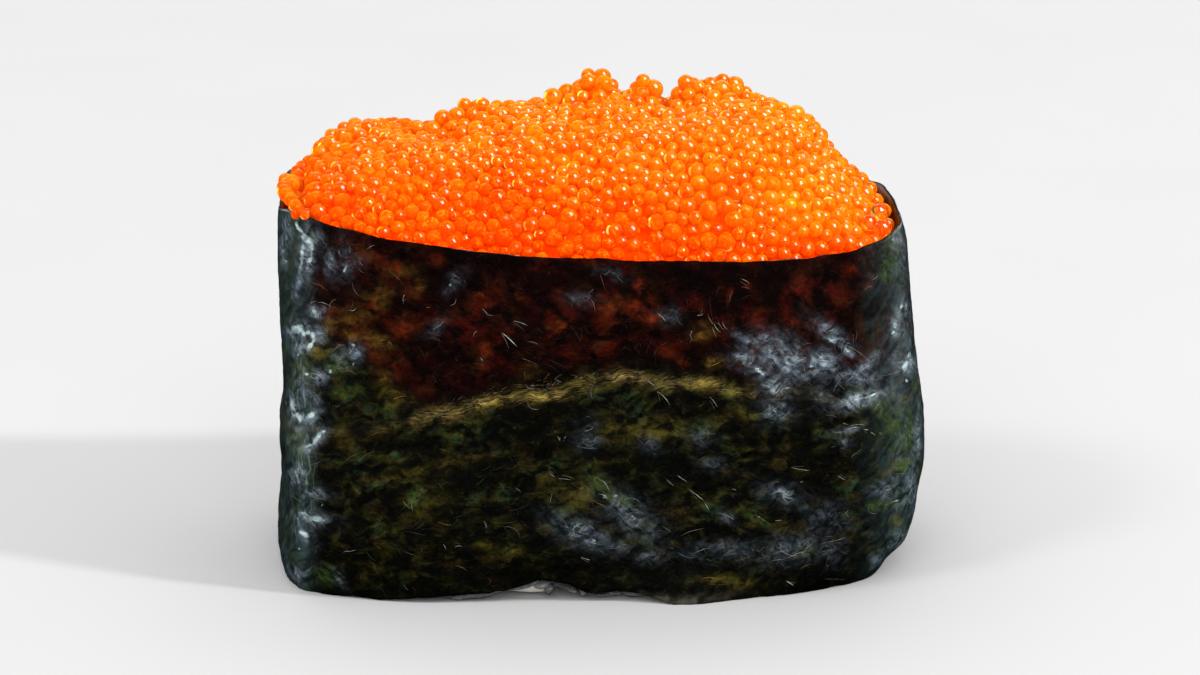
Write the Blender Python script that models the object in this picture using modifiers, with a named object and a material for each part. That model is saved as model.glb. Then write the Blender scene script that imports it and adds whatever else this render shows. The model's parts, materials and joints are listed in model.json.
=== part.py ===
"""Gunkan sushi topped with capelin roe.

A block of pressed rice stands inside an upright strip of moist seaweed. The
strip goes once round the block and laps over its own start at the back. The
well that it leaves above the rice is heaped with small orange eggs.

X runs along the length, Y from front to back, +Z up. The origin lies under the
middle of the piece, on the surface that it stands on.
"""

import functools

import bmesh
import bpy
import numpy as np

MM = 0.001

# ---- seaweed strip, sizes in millimetres -----------------------------------
STRIP_THICK = 0.3  # moist sheet
LAP = 9.0  # how far the strip goes on over its own start
LAP_GAP = 0.12  # air between the two layers of the lap
LAP_RAMP = 6.0  # stretch over which the outer layer lifts on to the inner one
LAP_STEP = 0.5  # how far the two cut edges miss each other in height
LAP_AT = 1.18  # direction of the strip's start, in radians from +X
MIDDLE_SHIFT = -0.42  # brings the middle of the length to X = 0

# reach of the wall from the middle, at shares of its height
REACH_AT = (0.0, 0.14, 0.32, 0.5, 0.75, 1.0)
REACH_LEFT = (24.9, 25.1, 24.95, 24.5, 24.25, 24.1)
REACH_RIGHT = (22.75, 24.95, 25.7, 25.3, 24.4, 23.45)
REACH_SIDE = (12.9, 13.95, 14.35, 14.4, 14.2, 13.75)
CORNER_LEFT = 3.95  # exponent of the plan outline: a higher one is squarer
CORNER_RIGHT = 3.45

# cut edge at the top, by place along the length
RIM_AT = (-24.5, -16.0, -8.0, 0.0, 8.0, 16.0, 24.5)
RIM_HEIGHT = (30.2, 28.95, 27.85, 27.4, 27.1, 27.0, 27.7)
DIP_LEFT = 1.2  # it is that much lower round the back of the left end
DIP_RIGHT = 0.85  # and at the very tip of the right end
# the lower edge has ridden up along the front, where the rice shows
LIFT_HEIGHT = 1.55
LIFT_FROM, LIFT_TO = -15.0, 7.5
LIFT_EASE = 5.0
EDGE_FLOAT = 0.05  # the lower edge elsewhere

STRIP_COLUMNS, STRIP_ROWS = 104, 9

TURN = 2 * np.pi
QUARTERS = np.arange(4) * np.pi / 2

# ---- rice block ---------------------------------------------------------------
FIT_GAP = 0.3  # between neighbouring solids
RICE_AT = (-24.5, -16.0, -8.0, 0.0, 8.0, 16.0, 24.5)
RICE_HEIGHT = (13.2, 15.0, 16.9, 18.3, 18.6, 17.2, 15.2)
RICE_CROWN = 0.9  # the block is a little higher in its middle
RICE_FOOT = 0.75  # rounding of its lower edge

# ---- heap of eggs ------------------------------------------------------------
CREST_AT = (-24.4, -22.9, -21.6, -18.0, -13.0, -8.0, -3.0, 1.0, 5.0, 9.5, 13.5, 17.0, 19.2, 21.2, 23.2)
CREST_HEIGHT = (30.3, 30.6, 32.6, 34.0, 33.8, 35.2, 36.0, 36.7, 35.8, 36.7, 35.4, 33.4, 31.0, 28.8, 27.0)
EDGE_DROP = 0.35  # the eggs' level under the cut edge
RISE_LEFT = 0.45  # they stand higher than that at the left end
DROP_RIGHT = 1.5  # and lower at the right end, where the wall stands free
SHOULDER, FULLNESS = 2.3, 0.74  # profile of the heap from front to back
# clumps that stand out of the heap: x, y, radius, height
CLUMPS = (
    (-18.6, 0.5, 2.4, 0.8),
    (-9.0, 1.0, 2.6, 0.9),
    (-0.3, 1.5, 2.0, 2.05),
    (3.7, 0.8, 1.4, 1.5),
    (8.8, 1.2, 2.7, 0.8),
    (13.6, -3.0, 2.2, 0.5),
    (-13.5, -5.0, 2.6, 0.6),
    (-4.5, -6.5, 3.0, 0.5),
    (6.0, -6.0, 2.8, 0.5),
    (-15.5, 7.5, 2.5, 0.6),
    (-6.0, 7.5, 2.6, 0.5),
    (4.5, 8.0, 2.7, 0.6),
    (14.5, 5.5, 2.4, 0.5),
)
GRAIN = 0.22  # relief of single eggs on the heap

# divisions of the two blocks along X, along Y and down their walls
HEAP_DIVISIONS = (36, 19, 3)
RICE_DIVISIONS = (26, 14, 6)


def eased(x, low, high):
    """0 below low, 1 above high and smooth between them."""
    t = np.clip((x - low) / (high - low), 0.0, 1.0)
    return t * t * (3.0 - 2.0 * t)


def through(at, values, x):
    """A smooth curve through the given stations, without overshoot."""
    at, values = np.asarray(at, float), np.asarray(values, float)
    x = np.clip(x, at[0], at[-1])
    step = np.diff(at)
    slope = np.diff(values) / step
    tangent = np.zeros(len(at))
    for i in range(1, len(at) - 1):
        if slope[i - 1] * slope[i] > 0:
            a, b = 2 * step[i] + step[i - 1], step[i] + 2 * step[i - 1]
            tangent[i] = (a + b) / (a / slope[i - 1] + b / slope[i])
    tangent[0], tangent[-1] = slope[0], slope[-1]
    i = np.clip(np.searchsorted(at, x, side="right") - 1, 0, len(at) - 2)
    t = (x - at[i]) / step[i]
    return (
        (2 * t**3 - 3 * t**2 + 1) * values[i]
        + (t**3 - 2 * t**2 + t) * step[i] * tangent[i]
        + (3 * t**2 - 2 * t**3) * values[i + 1]
        + (t**3 - t**2) * step[i] * tangent[i + 1]
    )


def ripple(angle, share):
    """The wall's own broad unevenness, in millimetres, along its plan direction."""
    return (
        0.16 * np.sin(5 * angle + 1.3) * np.sin(np.pi * share)
        + 0.10 * np.sin(9 * angle - 4.0 * share)
        + 0.12 * np.sin(3 * angle + 6.0 * share + 0.5)
    )


def outline(angle, share, inset=0.0):
    """Plan position of the wall's outer face, or of a face that far inside it."""
    angle, share = np.broadcast_arrays(np.asarray(angle, float), np.asarray(share, float))
    c, s = np.cos(angle), np.sin(angle)
    right = eased((c + 1) / 2, 0.25, 0.75)
    power = 2.0 / (CORNER_LEFT * (1 - right) + CORNER_RIGHT * right)
    x, y = np.sign(c) * np.abs(c) ** power, np.sign(s) * np.abs(s) ** power
    share = np.clip(share, 0.0, 1.0)
    end = np.where(
        x < 0, through(REACH_AT, REACH_LEFT, share), through(REACH_AT, REACH_RIGHT, share)
    )
    side = through(REACH_AT, REACH_SIDE, share)
    out = ripple(angle, share) - inset
    return (end + out) * x + MIDDLE_SHIFT, (side + out) * y


@functools.cache
def way_round():
    """Angles from the strip's start once round the outline, and the way to each."""
    dense = np.linspace(0, TURN, 4001) + LAP_AT
    x, y = outline(dense, 0.5)
    return dense, np.concatenate([[0], np.cumsum(np.hypot(np.diff(x), np.diff(y)))])


def rim_height(x):
    return through(RIM_AT, RIM_HEIGHT, x)


def cut_height(x, y):
    """Height of the strip's upper edge."""
    left = eased(y, -9.5, -3.0) * (1 - eased(x, -24.4, -19.0))
    return rim_height(x) - DIP_LEFT * left - DIP_RIGHT * eased(x, 22.7, 23.9)


def lower_edge(x, y):
    lifted = eased(x, LIFT_FROM, LIFT_FROM + LIFT_EASE) * (
        1 - eased(x, LIFT_TO - LIFT_EASE, LIFT_TO)
    )
    return EDGE_FLOAT + LIFT_HEIGHT * lifted * eased(-y, 4.0, 9.0)


def rice_top(x, y):
    inner = np.clip(1 - (x / 24.0) ** 2, 0, 1) * np.clip(1 - (y / 13.5) ** 2, 0, 1)
    return (
        through(RICE_AT, RICE_HEIGHT, x)
        + RICE_CROWN * inner
        + 0.25 * np.sin(0.9 * x + 0.6) * np.cos(1.1 * y)
    )


def half_depth(x, share=1.0, inset=0.0):
    """Half the depth of the well at this place along the length."""
    angle = np.linspace(0, np.pi, 721)
    px, py = outline(angle, share, inset)
    order = np.argsort(px)
    return np.interp(x, px[order], py[order], left=0.0, right=0.0)


def heap_edge(x, y):
    right = eased(x, 13.0, 23.0) * (0.55 + 0.45 * eased(y, -6, 6))
    left = 1 - eased(x, -24.0, -17.5)
    return rim_height(x) - EDGE_DROP - DROP_RIGHT * right + RISE_LEFT * left


def heap_top(x, y):
    """Height of the eggs' outer surface."""
    edge = heap_edge(x, y)
    depth = np.maximum(half_depth(x, 1.0, STRIP_THICK + FIT_GAP), 1e-6)
    across = np.clip(np.abs(y) / depth, 0, 1)
    profile = np.clip(1 - across**SHOULDER, 0, 1) ** FULLNESS
    crest = np.maximum(through(CREST_AT, CREST_HEIGHT, x), edge)
    z = edge + (crest - edge) * profile
    for cx, cy, radius, height in CLUMPS:
        away = ((x - cx) ** 2 + (y - cy) ** 2) / radius**2
        z = z + height * np.exp(-(away**1.5)) * np.sqrt(profile)
    return z


def grain(x, y):
    return np.sin(2.9 * x + 1.7 * np.sin(2.3 * y)) * np.sin(3.1 * y + 1.9 * np.sin(2.1 * x))


def material(name, colour, roughness):
    made = bpy.data.materials.new(name)
    made.use_nodes = True
    shader = made.node_tree.nodes["Principled BSDF"]
    shader.inputs["Base Color"].default_value = (*colour, 1.0)
    shader.inputs["Roughness"].default_value = roughness
    shader.inputs["Metallic"].default_value = 0.0
    return made


def add_object(name, mesh_builder, collection, surface):
    mesh = bpy.data.meshes.new(name)
    bm = bmesh.new()
    mesh_builder(bm)
    bmesh.ops.recalc_face_normals(bm, faces=bm.faces)
    bm.to_mesh(mesh)
    bm.free()
    obj = bpy.data.objects.new(name, mesh)
    collection.objects.link(obj)
    mesh.materials.append(surface)
    mesh.shade_smooth()
    return obj


def strip_grid(bm):
    """A flat grid bent into the strip's outer face, lap included."""
    bmesh.ops.create_grid(bm, x_segments=STRIP_COLUMNS, y_segments=STRIP_ROWS, size=0.5)
    dense, run = way_round()
    once = run[-1]
    for v in bm.verts:
        along = (v.co.x + 0.5) * (once + LAP)
        share = v.co.y + 0.5
        angle = np.interp(along % once, run, dense)
        lifted = (STRIP_THICK + LAP_GAP) * eased(along, once - LAP_RAMP, once - 0.6)
        x, y = outline(angle, share, -lifted)
        step = LAP_STEP * eased(along, once - 12.0, once + LAP)
        low, high = lower_edge(x, y), cut_height(x, y) + step
        z = float(low + (high - low) * share)
        x, y = outline(angle, share_at(x, z), -lifted)
        v.co = (float(x) * MM, float(y) * MM, z * MM)


def share_at(x, z):
    return np.clip(z / rim_height(x), 0, 1)


def divided_box(bm, divisions):
    """A box of size 2 cut into the given numbers of slices along X, Y and Z."""
    bmesh.ops.create_cube(bm, size=2.0)
    for axis, count in enumerate(divisions):
        along = [e for e in bm.edges if abs(e.verts[0].co[axis] - e.verts[1].co[axis]) > 1.0]
        bmesh.ops.subdivide_edges(bm, edges=along, cuts=count - 1, use_grid_fill=True)


def plan_direction(u, v):
    """Angle of the outline that this point on the square's edge goes to."""
    dense, run = way_round()
    corner = [np.interp(a, dense, run) for a in LAP_AT + (np.pi / 4 + QUARTERS - LAP_AT) % TURN]
    side = 0 if u >= abs(v) else 1 if v >= abs(u) else 2 if -u >= abs(v) else 3
    reach = max(abs(u), abs(v))
    step = (v, -u, -v, u)[side] / reach if reach > 0 else 0.0
    first, last = corner[side - 1], corner[side]
    if last < first:
        last += run[-1]
    return np.interp((first + (last - first) * (step + 1) / 2) % run[-1], run, dense), reach


def rice_block(bm):
    """The pressed rice: an uneven top, a wall that follows the strip, a flat foot."""
    divided_box(bm, RICE_DIVISIONS)
    inset = STRIP_THICK + FIT_GAP
    for v in bm.verts:
        angle, reach = plan_direction(v.co.x, v.co.y)
        down = (1 - v.co.z) / 2
        x, y = outline(angle, 0.55, inset)
        top = float(rice_top(x, y))
        if down < 0.001:
            x, y = outline(angle, share_at(x, top), inset)
            x, y = x * reach, y * reach
            z = float(rice_top(x, y))
        elif down > 0.999:
            x, y = outline(angle, 0.0, inset + 0.9)
            x, y, z = x * reach, y * reach, 0.0
        else:
            step = down * RICE_DIVISIONS[2] / (RICE_DIVISIONS[2] - 1)
            z = top + (RICE_FOOT - top) * step**0.8
            x, y = outline(angle, share_at(x, z), inset)
        v.co = (float(x) * MM, float(y) * MM, z * MM)


def egg_heap(bm):
    """The eggs as one body: the heap above, the well's wall, and the bed on the rice."""
    divided_box(bm, HEAP_DIVISIONS)
    inset = STRIP_THICK + FIT_GAP
    for v in bm.verts:
        angle, reach = plan_direction(v.co.x, v.co.y)
        down = (1 - v.co.z) / 2
        rim_x, rim_y = outline(angle, 1.0, inset)
        edge = float(heap_edge(rim_x, rim_y))
        bed = float(rice_top(rim_x, rim_y)) + FIT_GAP
        if down < 0.001:
            x, y = rim_x * reach, rim_y * reach
            z = float(heap_top(x, y)) + GRAIN * float(grain(x, y)) * min(1, 6 * (1 - reach))
        elif down > 0.999:
            x, y = outline(angle, share_at(rim_x, bed), inset)
            x, y = x * reach, y * reach
            z = float(rice_top(x, y)) + FIT_GAP + 0.3 * (1 - reach)
        else:
            z = edge + (bed - edge) * down
            x, y = outline(angle, share_at(rim_x, z), inset)
        v.co = (float(x) * MM, float(y) * MM, z * MM)


def main():
    for old in list(bpy.data.objects):
        bpy.data.objects.remove(old, do_unlink=True)
    piece = bpy.data.collections.new("masago_gunkan")
    bpy.context.scene.collection.children.link(piece)

    seaweed = material("seaweed", (0.018, 0.022, 0.010), 0.32)
    rice = material("rice", (0.80, 0.78, 0.70), 0.45)
    roe = material("roe", (0.95, 0.20, 0.01), 0.18)

    strip = add_object("nori_band", strip_grid, piece, seaweed)
    wall = strip.modifiers.new("sheet", "SOLIDIFY")
    wall.thickness = STRIP_THICK * MM
    wall.offset = -1.0
    wall.use_even_offset = True

    add_object("rice_base", rice_block, piece, rice)
    add_object("roe_heap", egg_heap, piece, roe)


main()
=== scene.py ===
"""Looks of the gunkan sushi: a crinkled strip of moist seaweed, single eggs heaped
over a core, pressed rice grains at the foot, a pale floor and soft studio light.

Sizes are in millimetres until a mesh is written.
"""

import json
import math

import bmesh
import bpy
import numpy as np
from mathutils import Matrix, Vector

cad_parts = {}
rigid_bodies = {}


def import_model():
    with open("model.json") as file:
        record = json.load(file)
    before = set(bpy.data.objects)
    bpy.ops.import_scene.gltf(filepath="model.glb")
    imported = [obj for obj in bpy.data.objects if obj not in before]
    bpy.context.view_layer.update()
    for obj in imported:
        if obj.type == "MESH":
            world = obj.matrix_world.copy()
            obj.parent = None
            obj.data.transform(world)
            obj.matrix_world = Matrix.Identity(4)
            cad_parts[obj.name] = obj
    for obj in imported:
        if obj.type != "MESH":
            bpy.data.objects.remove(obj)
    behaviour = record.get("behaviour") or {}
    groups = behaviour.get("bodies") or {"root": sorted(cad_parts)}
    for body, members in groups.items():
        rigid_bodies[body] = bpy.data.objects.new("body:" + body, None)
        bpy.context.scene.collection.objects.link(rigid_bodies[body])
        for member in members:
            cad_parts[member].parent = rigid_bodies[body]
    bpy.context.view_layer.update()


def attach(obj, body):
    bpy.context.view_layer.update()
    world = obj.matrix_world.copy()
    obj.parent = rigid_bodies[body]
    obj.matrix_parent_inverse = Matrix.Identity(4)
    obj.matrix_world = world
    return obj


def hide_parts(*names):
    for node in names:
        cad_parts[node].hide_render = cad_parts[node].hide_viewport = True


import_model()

MM = 0.001
TURN = 2 * np.pi

# ---- the part's own sizes -----------------------------------------------------
STRIP_THICK = 0.3
LAP = 9.0
LAP_GAP = 0.12
LAP_RAMP = 6.0
LAP_STEP = 0.5
LAP_AT = 1.18
MIDDLE_SHIFT = -0.42
REACH_AT = (0.0, 0.14, 0.32, 0.5, 0.75, 1.0)
REACH_LEFT = (24.5, 24.74, 24.48, 24.15, 24.2, 24.1)
REACH_RIGHT = (22.7, 24.9, 25.58, 25.2, 24.4, 23.45)
REACH_SIDE = (12.9, 13.95, 14.35, 14.4, 14.2, 13.75)
CORNER_LEFT = 3.95
CORNER_RIGHT = 3.45
RIM_AT = (-24.5, -16.0, -8.0, 0.0, 8.0, 16.0, 24.5)
RIM_HEIGHT = (30.2, 28.95, 27.85, 27.4, 27.1, 27.0, 27.7)
LIFT_HEIGHT = 1.55
LIFT_FROM, LIFT_TO = -15.0, 7.5
LIFT_EASE = 5.0
EDGE_FLOAT = 0.05
FIT_GAP = 0.3
RICE_AT = (-24.5, -16.0, -8.0, 0.0, 8.0, 16.0, 24.5)
RICE_HEIGHT = (13.2, 15.0, 16.9, 18.3, 18.6, 17.2, 15.2)
RICE_CROWN = 0.9
CREST_AT = (-24.4, -22.9, -21.6, -18.0, -13.0, -8.0, -3.0, 1.0, 5.0, 9.5, 13.5, 17.0, 19.2, 21.2, 23.2)
CREST_HEIGHT = (28.9, 29.9, 32.6, 34.0, 33.8, 35.2, 36.0, 36.7, 35.8, 36.7, 35.4, 33.4, 31.0, 28.8, 27.0)
EDGE_DROP = 0.35
RISE_LEFT = 0.45
DROP_RIGHT = 1.5
SHOULDER, FULLNESS = 2.3, 0.74
CLUMPS = (
    (-18.6, 0.5, 2.4, 0.8),
    (-9.0, 1.0, 2.6, 0.9),
    (-0.3, 1.5, 2.0, 1.8),
    (3.7, 0.8, 1.4, 1.3),
    (8.8, 1.2, 2.7, 0.8),
    (13.6, -3.0, 2.2, 0.5),
    (-13.5, -5.0, 2.6, 0.6),
    (-4.5, -6.5, 3.0, 0.5),
    (6.0, -6.0, 2.8, 0.5),
    (-15.5, 7.5, 2.5, 0.6),
    (-6.0, 7.5, 2.6, 0.5),
    (4.5, 8.0, 2.7, 0.6),
    (14.5, 5.5, 2.4, 0.5),
    # small ones that only the loose eggs show
    (-21.2, 0.0, 1.0, 0.5),
    (-13.3, 1.0, 1.1, 0.8),
    (-11.2, 0.8, 1.4, 0.9),
    (-8.9, 1.0, 0.9, 0.6),
    (-7.6, 1.0, 0.9, -0.7),
    (1.8, 1.0, 0.8, -0.7),
    (14.6, 0.6, 1.0, 0.45),
    (-3.3, 1.0, 1.1, 1.1),
    (0.15, 1.3, 1.6, 0.38),
    (4.0, 0.8, 0.9, 1.0),
    (6.7, 1.0, 1.1, 1.2),
    (-12.2, 1.0, 0.8, 0.6),
    (-10.0, 1.0, 0.7, 0.3),
    (4.1, 1.0, 0.8, -0.4),
    (1.3, 1.0, 0.7, -0.3),
    (6.3, 1.0, 0.6, 0.3),
    (3.1, 1.0, 0.8, 0.2),
    (5.35, 1.0, 0.6, -0.5),
    (8.8, 1.0, 0.9, 0.3),
    (13.2, 0.8, 1.1, 0.5),
    (10.4, 1.0, 1.6, 0.6),
    (16.2, 0.6, 1.5, 0.8),
    (20.6, 0.0, 1.3, 0.7),
)

# the sheet's own lower edge in front
LIFT_AT = (-17.4, -15.0, -11.8, -7.8, -6.2, -5.0, -2.7, -1.1, 0.7, 2.2, 4.8, 6.8)
LIFT = (0.0, 0.3, 0.62, 0.9, 1.4, 1.7, 1.35, 0.7, 0.9, 0.8, 0.3, 0.0)

# ---- looks --------------------------------------------------------------------
SHEET_THICK = 0.24
SHEET_BACK = 0.2  # how far the sheet lies inside the wall's outline
SHEET_COLUMNS, SHEET_ROWS, INNER_ROWS = 640, 134, 18
FIBRES = 560
EGG_RADIUS = 0.55
EGG_SHELL = 1.35  # depth of the loose eggs over the core
CORE_DEPTH = 0.84  # the core's surface under the heap's

# camera of the photograph
ELEVATION, AZIMUTH, DISTANCE = 16.87, -2.3, 360.0
TARGET = (-0.42, 0.0, 17.0)
LENS, SHIFT = 138.24, (0.0054, 0.00133)
# lamps: the world, three that light the body, and two kinds that only make glints
WORLD, KEY, FILL, BACK, FRONT = 1.50, 17.3, 6.7, 5.5, 9.9
WINDOW, RIM, STRIPS, LOW, EDGES = 60.0, 4.0, 12.0, 7.0, 0.7


# ---- curves and noise ---------------------------------------------------------
def eased(x, low, high):
    t = np.clip((x - low) / (high - low), 0.0, 1.0)
    return t * t * (3.0 - 2.0 * t)


def through(at, values, x):
    """A smooth curve through the given stations, without overshoot."""
    at, values = np.asarray(at, float), np.asarray(values, float)
    x = np.clip(x, at[0], at[-1])
    step = np.diff(at)
    slope = np.diff(values) / step
    tangent = np.zeros(len(at))
    for i in range(1, len(at) - 1):
        if slope[i - 1] * slope[i] > 0:
            a, b = 2 * step[i] + step[i - 1], step[i] + 2 * step[i - 1]
            tangent[i] = (a + b) / (a / slope[i - 1] + b / slope[i])
    tangent[0], tangent[-1] = slope[0], slope[-1]
    i = np.clip(np.searchsorted(at, x, side="right") - 1, 0, len(at) - 2)
    t = (x - at[i]) / step[i]
    return (
        (2 * t**3 - 3 * t**2 + 1) * values[i]
        + (t**3 - 2 * t**2 + t) * step[i] * tangent[i]
        + (3 * t**2 - 2 * t**3) * values[i + 1]
        + (t**3 - t**2) * step[i] * tangent[i + 1]
    )


def hashed(ix, iy, iz, seed):
    """A repeatable number from 0 to 1 for every lattice point."""
    h = (
        ix.astype(np.uint32) * np.uint32(374761393)
        + iy.astype(np.uint32) * np.uint32(668265263)
        + iz.astype(np.uint32) * np.uint32(2147483647)
        + np.uint32((seed * 974634777) & 0xFFFFFFFF)
    )
    h = (h ^ (h >> np.uint32(13))) * np.uint32(1274126177)
    h = (h ^ (h >> np.uint32(16))) * np.uint32(2246822519)
    return ((h ^ (h >> np.uint32(15))) & np.uint32(0xFFFFFF)).astype(float) / 0xFFFFFF


def noise(p, size, seed=0):
    """Smooth noise from -1 to 1 at points p, with lumps of this size in millimetres."""
    q = np.asarray(p, float) / size + 1000.0
    i = np.floor(q).astype(np.int64)
    f = q - i
    w = f * f * f * (f * (6 * f - 15) + 10)
    total = 0.0
    for dx in (0, 1):
        for dy in (0, 1):
            for dz in (0, 1):
                c = hashed(i[..., 0] + dx, i[..., 1] + dy, i[..., 2] + dz, seed)
                wx = w[..., 0] if dx else 1 - w[..., 0]
                wy = w[..., 1] if dy else 1 - w[..., 1]
                wz = w[..., 2] if dz else 1 - w[..., 2]
                total = total + c * wx * wy * wz
    return total * 2 - 1


def rough_noise(p, size, octaves=4, seed=0, gain=0.5):
    total, amp, norm = 0.0, 1.0, 0.0
    for k in range(octaves):
        total = total + amp * noise(p, size / 2**k, seed + 17 * k)
        norm += amp
        amp *= gain
    return total / norm


def ridges(p, size, octaves=3, seed=0):
    """Sharp creases: 1 on a crease and falling off on both sides."""
    total, amp, norm = 0.0, 1.0, 0.0
    for k in range(octaves):
        n = 1 - np.abs(noise(p, size / 2**k, seed + 31 * k)) * 2.2
        total = total + amp * np.clip(n, 0, 1) ** 2
        norm += amp
        amp *= 0.55
    return total / norm


# ---- the part's surfaces --------------------------------------------------------
def ripple(angle, share):
    return (
        0.16 * np.sin(5 * angle + 1.3) * np.sin(np.pi * share)
        + 0.10 * np.sin(9 * angle - 4.0 * share)
        + 0.12 * np.sin(3 * angle + 6.0 * share + 0.5)
    )


def outline(angle, share, inset=0.0):
    """Plan position of the wall's outer face, or of a face that far inside it."""
    angle, share = np.broadcast_arrays(np.asarray(angle, float), np.asarray(share, float))
    c, s = np.cos(angle), np.sin(angle)
    right = eased((c + 1) / 2, 0.25, 0.75)
    power = 2.0 / (CORNER_LEFT * (1 - right) + CORNER_RIGHT * right)
    x, y = np.sign(c) * np.abs(c) ** power, np.sign(s) * np.abs(s) ** power
    share = np.clip(share, 0.0, 1.0)
    end = np.where(
        x < 0, through(REACH_AT, REACH_LEFT, share), through(REACH_AT, REACH_RIGHT, share)
    )
    side = through(REACH_AT, REACH_SIDE, share)
    out = ripple(angle, share) - inset
    return (end + out) * x + MIDDLE_SHIFT, (side + out) * y


def way_round():
    dense = np.linspace(0, TURN, 4001) + LAP_AT
    x, y = outline(dense, 0.5)
    return dense, np.concatenate([[0], np.cumsum(np.hypot(np.diff(x), np.diff(y)))])


DENSE, RUN = way_round()
ONCE = float(RUN[-1])


def rim_height(x):
    return through(RIM_AT, RIM_HEIGHT, x)


def lower_edge(x, y):
    lifted = eased(x, LIFT_FROM, LIFT_FROM + LIFT_EASE) * (
        1 - eased(x, LIFT_TO - LIFT_EASE, LIFT_TO)
    )
    return EDGE_FLOAT + LIFT_HEIGHT * lifted * eased(-y, 4.0, 9.0)


def rice_top(x, y):
    inner = np.clip(1 - (x / 24.0) ** 2, 0, 1) * np.clip(1 - (y / 13.5) ** 2, 0, 1)
    return (
        through(RICE_AT, RICE_HEIGHT, x)
        + RICE_CROWN * inner
        + 0.25 * np.sin(0.9 * x + 0.6) * np.cos(1.1 * y)
    )


def half_depth(x, share=1.0, inset=0.0):
    angle = np.linspace(0, np.pi, 721)
    px, py = outline(angle, share, inset)
    order = np.argsort(px)
    return np.interp(x, px[order], py[order], left=0.0, right=0.0)


def heap_edge(x, y):
    right = eased(x, 13.0, 23.0) * (0.55 + 0.45 * eased(y, -6, 6))
    left = 1 - eased(x, -24.0, -17.5)
    return rim_height(x) - EDGE_DROP - DROP_RIGHT * right + RISE_LEFT * left


def heap_top(x, y):
    edge = heap_edge(x, y)
    depth = np.maximum(half_depth(x, 1.0, STRIP_THICK + FIT_GAP), 1e-6)
    across = np.clip(np.abs(y) / depth, 0, 1)
    profile = np.clip(1 - across**SHOULDER, 0, 1) ** FULLNESS
    crest = np.maximum(through(CREST_AT, CREST_HEIGHT, x), edge)
    z = edge + (crest - edge) * profile
    for cx, cy, radius, height in CLUMPS:
        away = ((x - cx) ** 2 + (y - cy) ** 2) / radius**2
        z = z + height * np.exp(-(away**1.5)) * np.sqrt(profile)
    return z


def share_at(x, z):
    return np.clip(z / rim_height(x), 0, 1)


def wall_gap(x, y, share, inset=0.0):
    """Distance inwards from the wall, and the direction that leads in."""
    right_end = through(REACH_AT, REACH_RIGHT, share) - inset
    left_end = through(REACH_AT, REACH_LEFT, share) - inset
    side = through(REACH_AT, REACH_SIDE, share) - inset
    n = np.where(x > MIDDLE_SHIFT, CORNER_RIGHT, CORNER_LEFT)
    out = 0.0
    for _ in range(2):
        end = np.where(x < MIDDLE_SHIFT, left_end, right_end) + out
        u, v = (x - MIDDLE_SHIFT) / end, y / (side + out)
        level = (np.abs(u) ** n + np.abs(v) ** n + 1e-9) ** (1 / n)
        c = np.sign(u) * (np.abs(u) / level) ** (n / 2)
        s = np.sign(v) * (np.abs(v) / level) ** (n / 2)
        out = ripple(np.arctan2(s, c), share)
    gx = np.sign(u) * (np.abs(u) / level) ** (n - 1) / end
    gy = np.sign(v) * (np.abs(v) / level) ** (n - 1) / (side + out)
    g = np.hypot(gx, gy) + 1e-9
    return (1 - level) / g, -gx / g, -gy / g


# ---- meshes ---------------------------------------------------------------------
def mesh_object(name, verts, faces, material):
    """A smooth-shaded object. faces is a list of index arrays, each of shape (n, 3) or (n, 4)."""
    mesh = bpy.data.meshes.new(name)
    verts = np.asarray(verts, np.float32) * MM
    loops = np.concatenate([f.ravel() for f in faces]).astype(np.int32)
    sizes = np.concatenate([np.full(len(f), f.shape[1]) for f in faces])
    starts = np.concatenate([[0], np.cumsum(sizes)[:-1]]).astype(np.int32)
    mesh.vertices.add(len(verts))
    mesh.vertices.foreach_set("co", verts.ravel())
    mesh.loops.add(len(loops))
    mesh.loops.foreach_set("vertex_index", loops)
    mesh.polygons.add(len(sizes))
    mesh.polygons.foreach_set("loop_start", starts)
    mesh.update(calc_edges=True)
    mesh.validate()
    mesh.shade_smooth()
    mesh.materials.append(material)
    obj = bpy.data.objects.new(name, mesh)
    bpy.context.scene.collection.objects.link(obj)
    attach(obj, "root")
    return obj


def paint(obj, name, values):
    """A colour of its own for every point, from values of shape (n, 3) or (n, 4)."""
    values = np.asarray(values, np.float32)
    if values.shape[1] == 3:
        values = np.concatenate([values, np.ones((len(values), 1), np.float32)], 1)
    layer = obj.data.color_attributes.new(name, "FLOAT_COLOR", "POINT")
    layer.data.foreach_set("color", values.ravel())


def sphere(subdivisions):
    bm = bmesh.new()
    bmesh.ops.create_icosphere(bm, subdivisions=subdivisions, radius=1.0)
    bm.verts.ensure_lookup_table()
    verts = np.array([v.co for v in bm.verts])
    faces = np.array([[v.index for v in f.verts] for f in bm.faces])
    bm.free()
    return verts / np.linalg.norm(verts, axis=1, keepdims=True), faces


def grid_faces(rows, columns, start=0, flip=False):
    i = np.arange(rows - 1)[:, None] * columns + np.arange(columns - 1)[None] + start
    quads = np.stack([i, i + 1, i + 1 + columns, i + columns], -1).reshape(-1, 4)
    return quads[:, ::-1] if flip else quads


def turns(rng, count):
    """Random rotations, as matrices."""
    q = rng.normal(size=(count, 4))
    q /= np.linalg.norm(q, axis=1, keepdims=True)
    w, x, y, z = q.T
    return np.stack(
        [
            np.stack([1 - 2 * (y * y + z * z), 2 * (x * y - z * w), 2 * (x * z + y * w)], -1),
            np.stack([2 * (x * y + z * w), 1 - 2 * (x * x + z * z), 2 * (y * z - x * w)], -1),
            np.stack([2 * (x * z - y * w), 2 * (y * z + x * w), 1 - 2 * (x * x + y * y)], -1),
        ],
        -2,
    )


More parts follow.
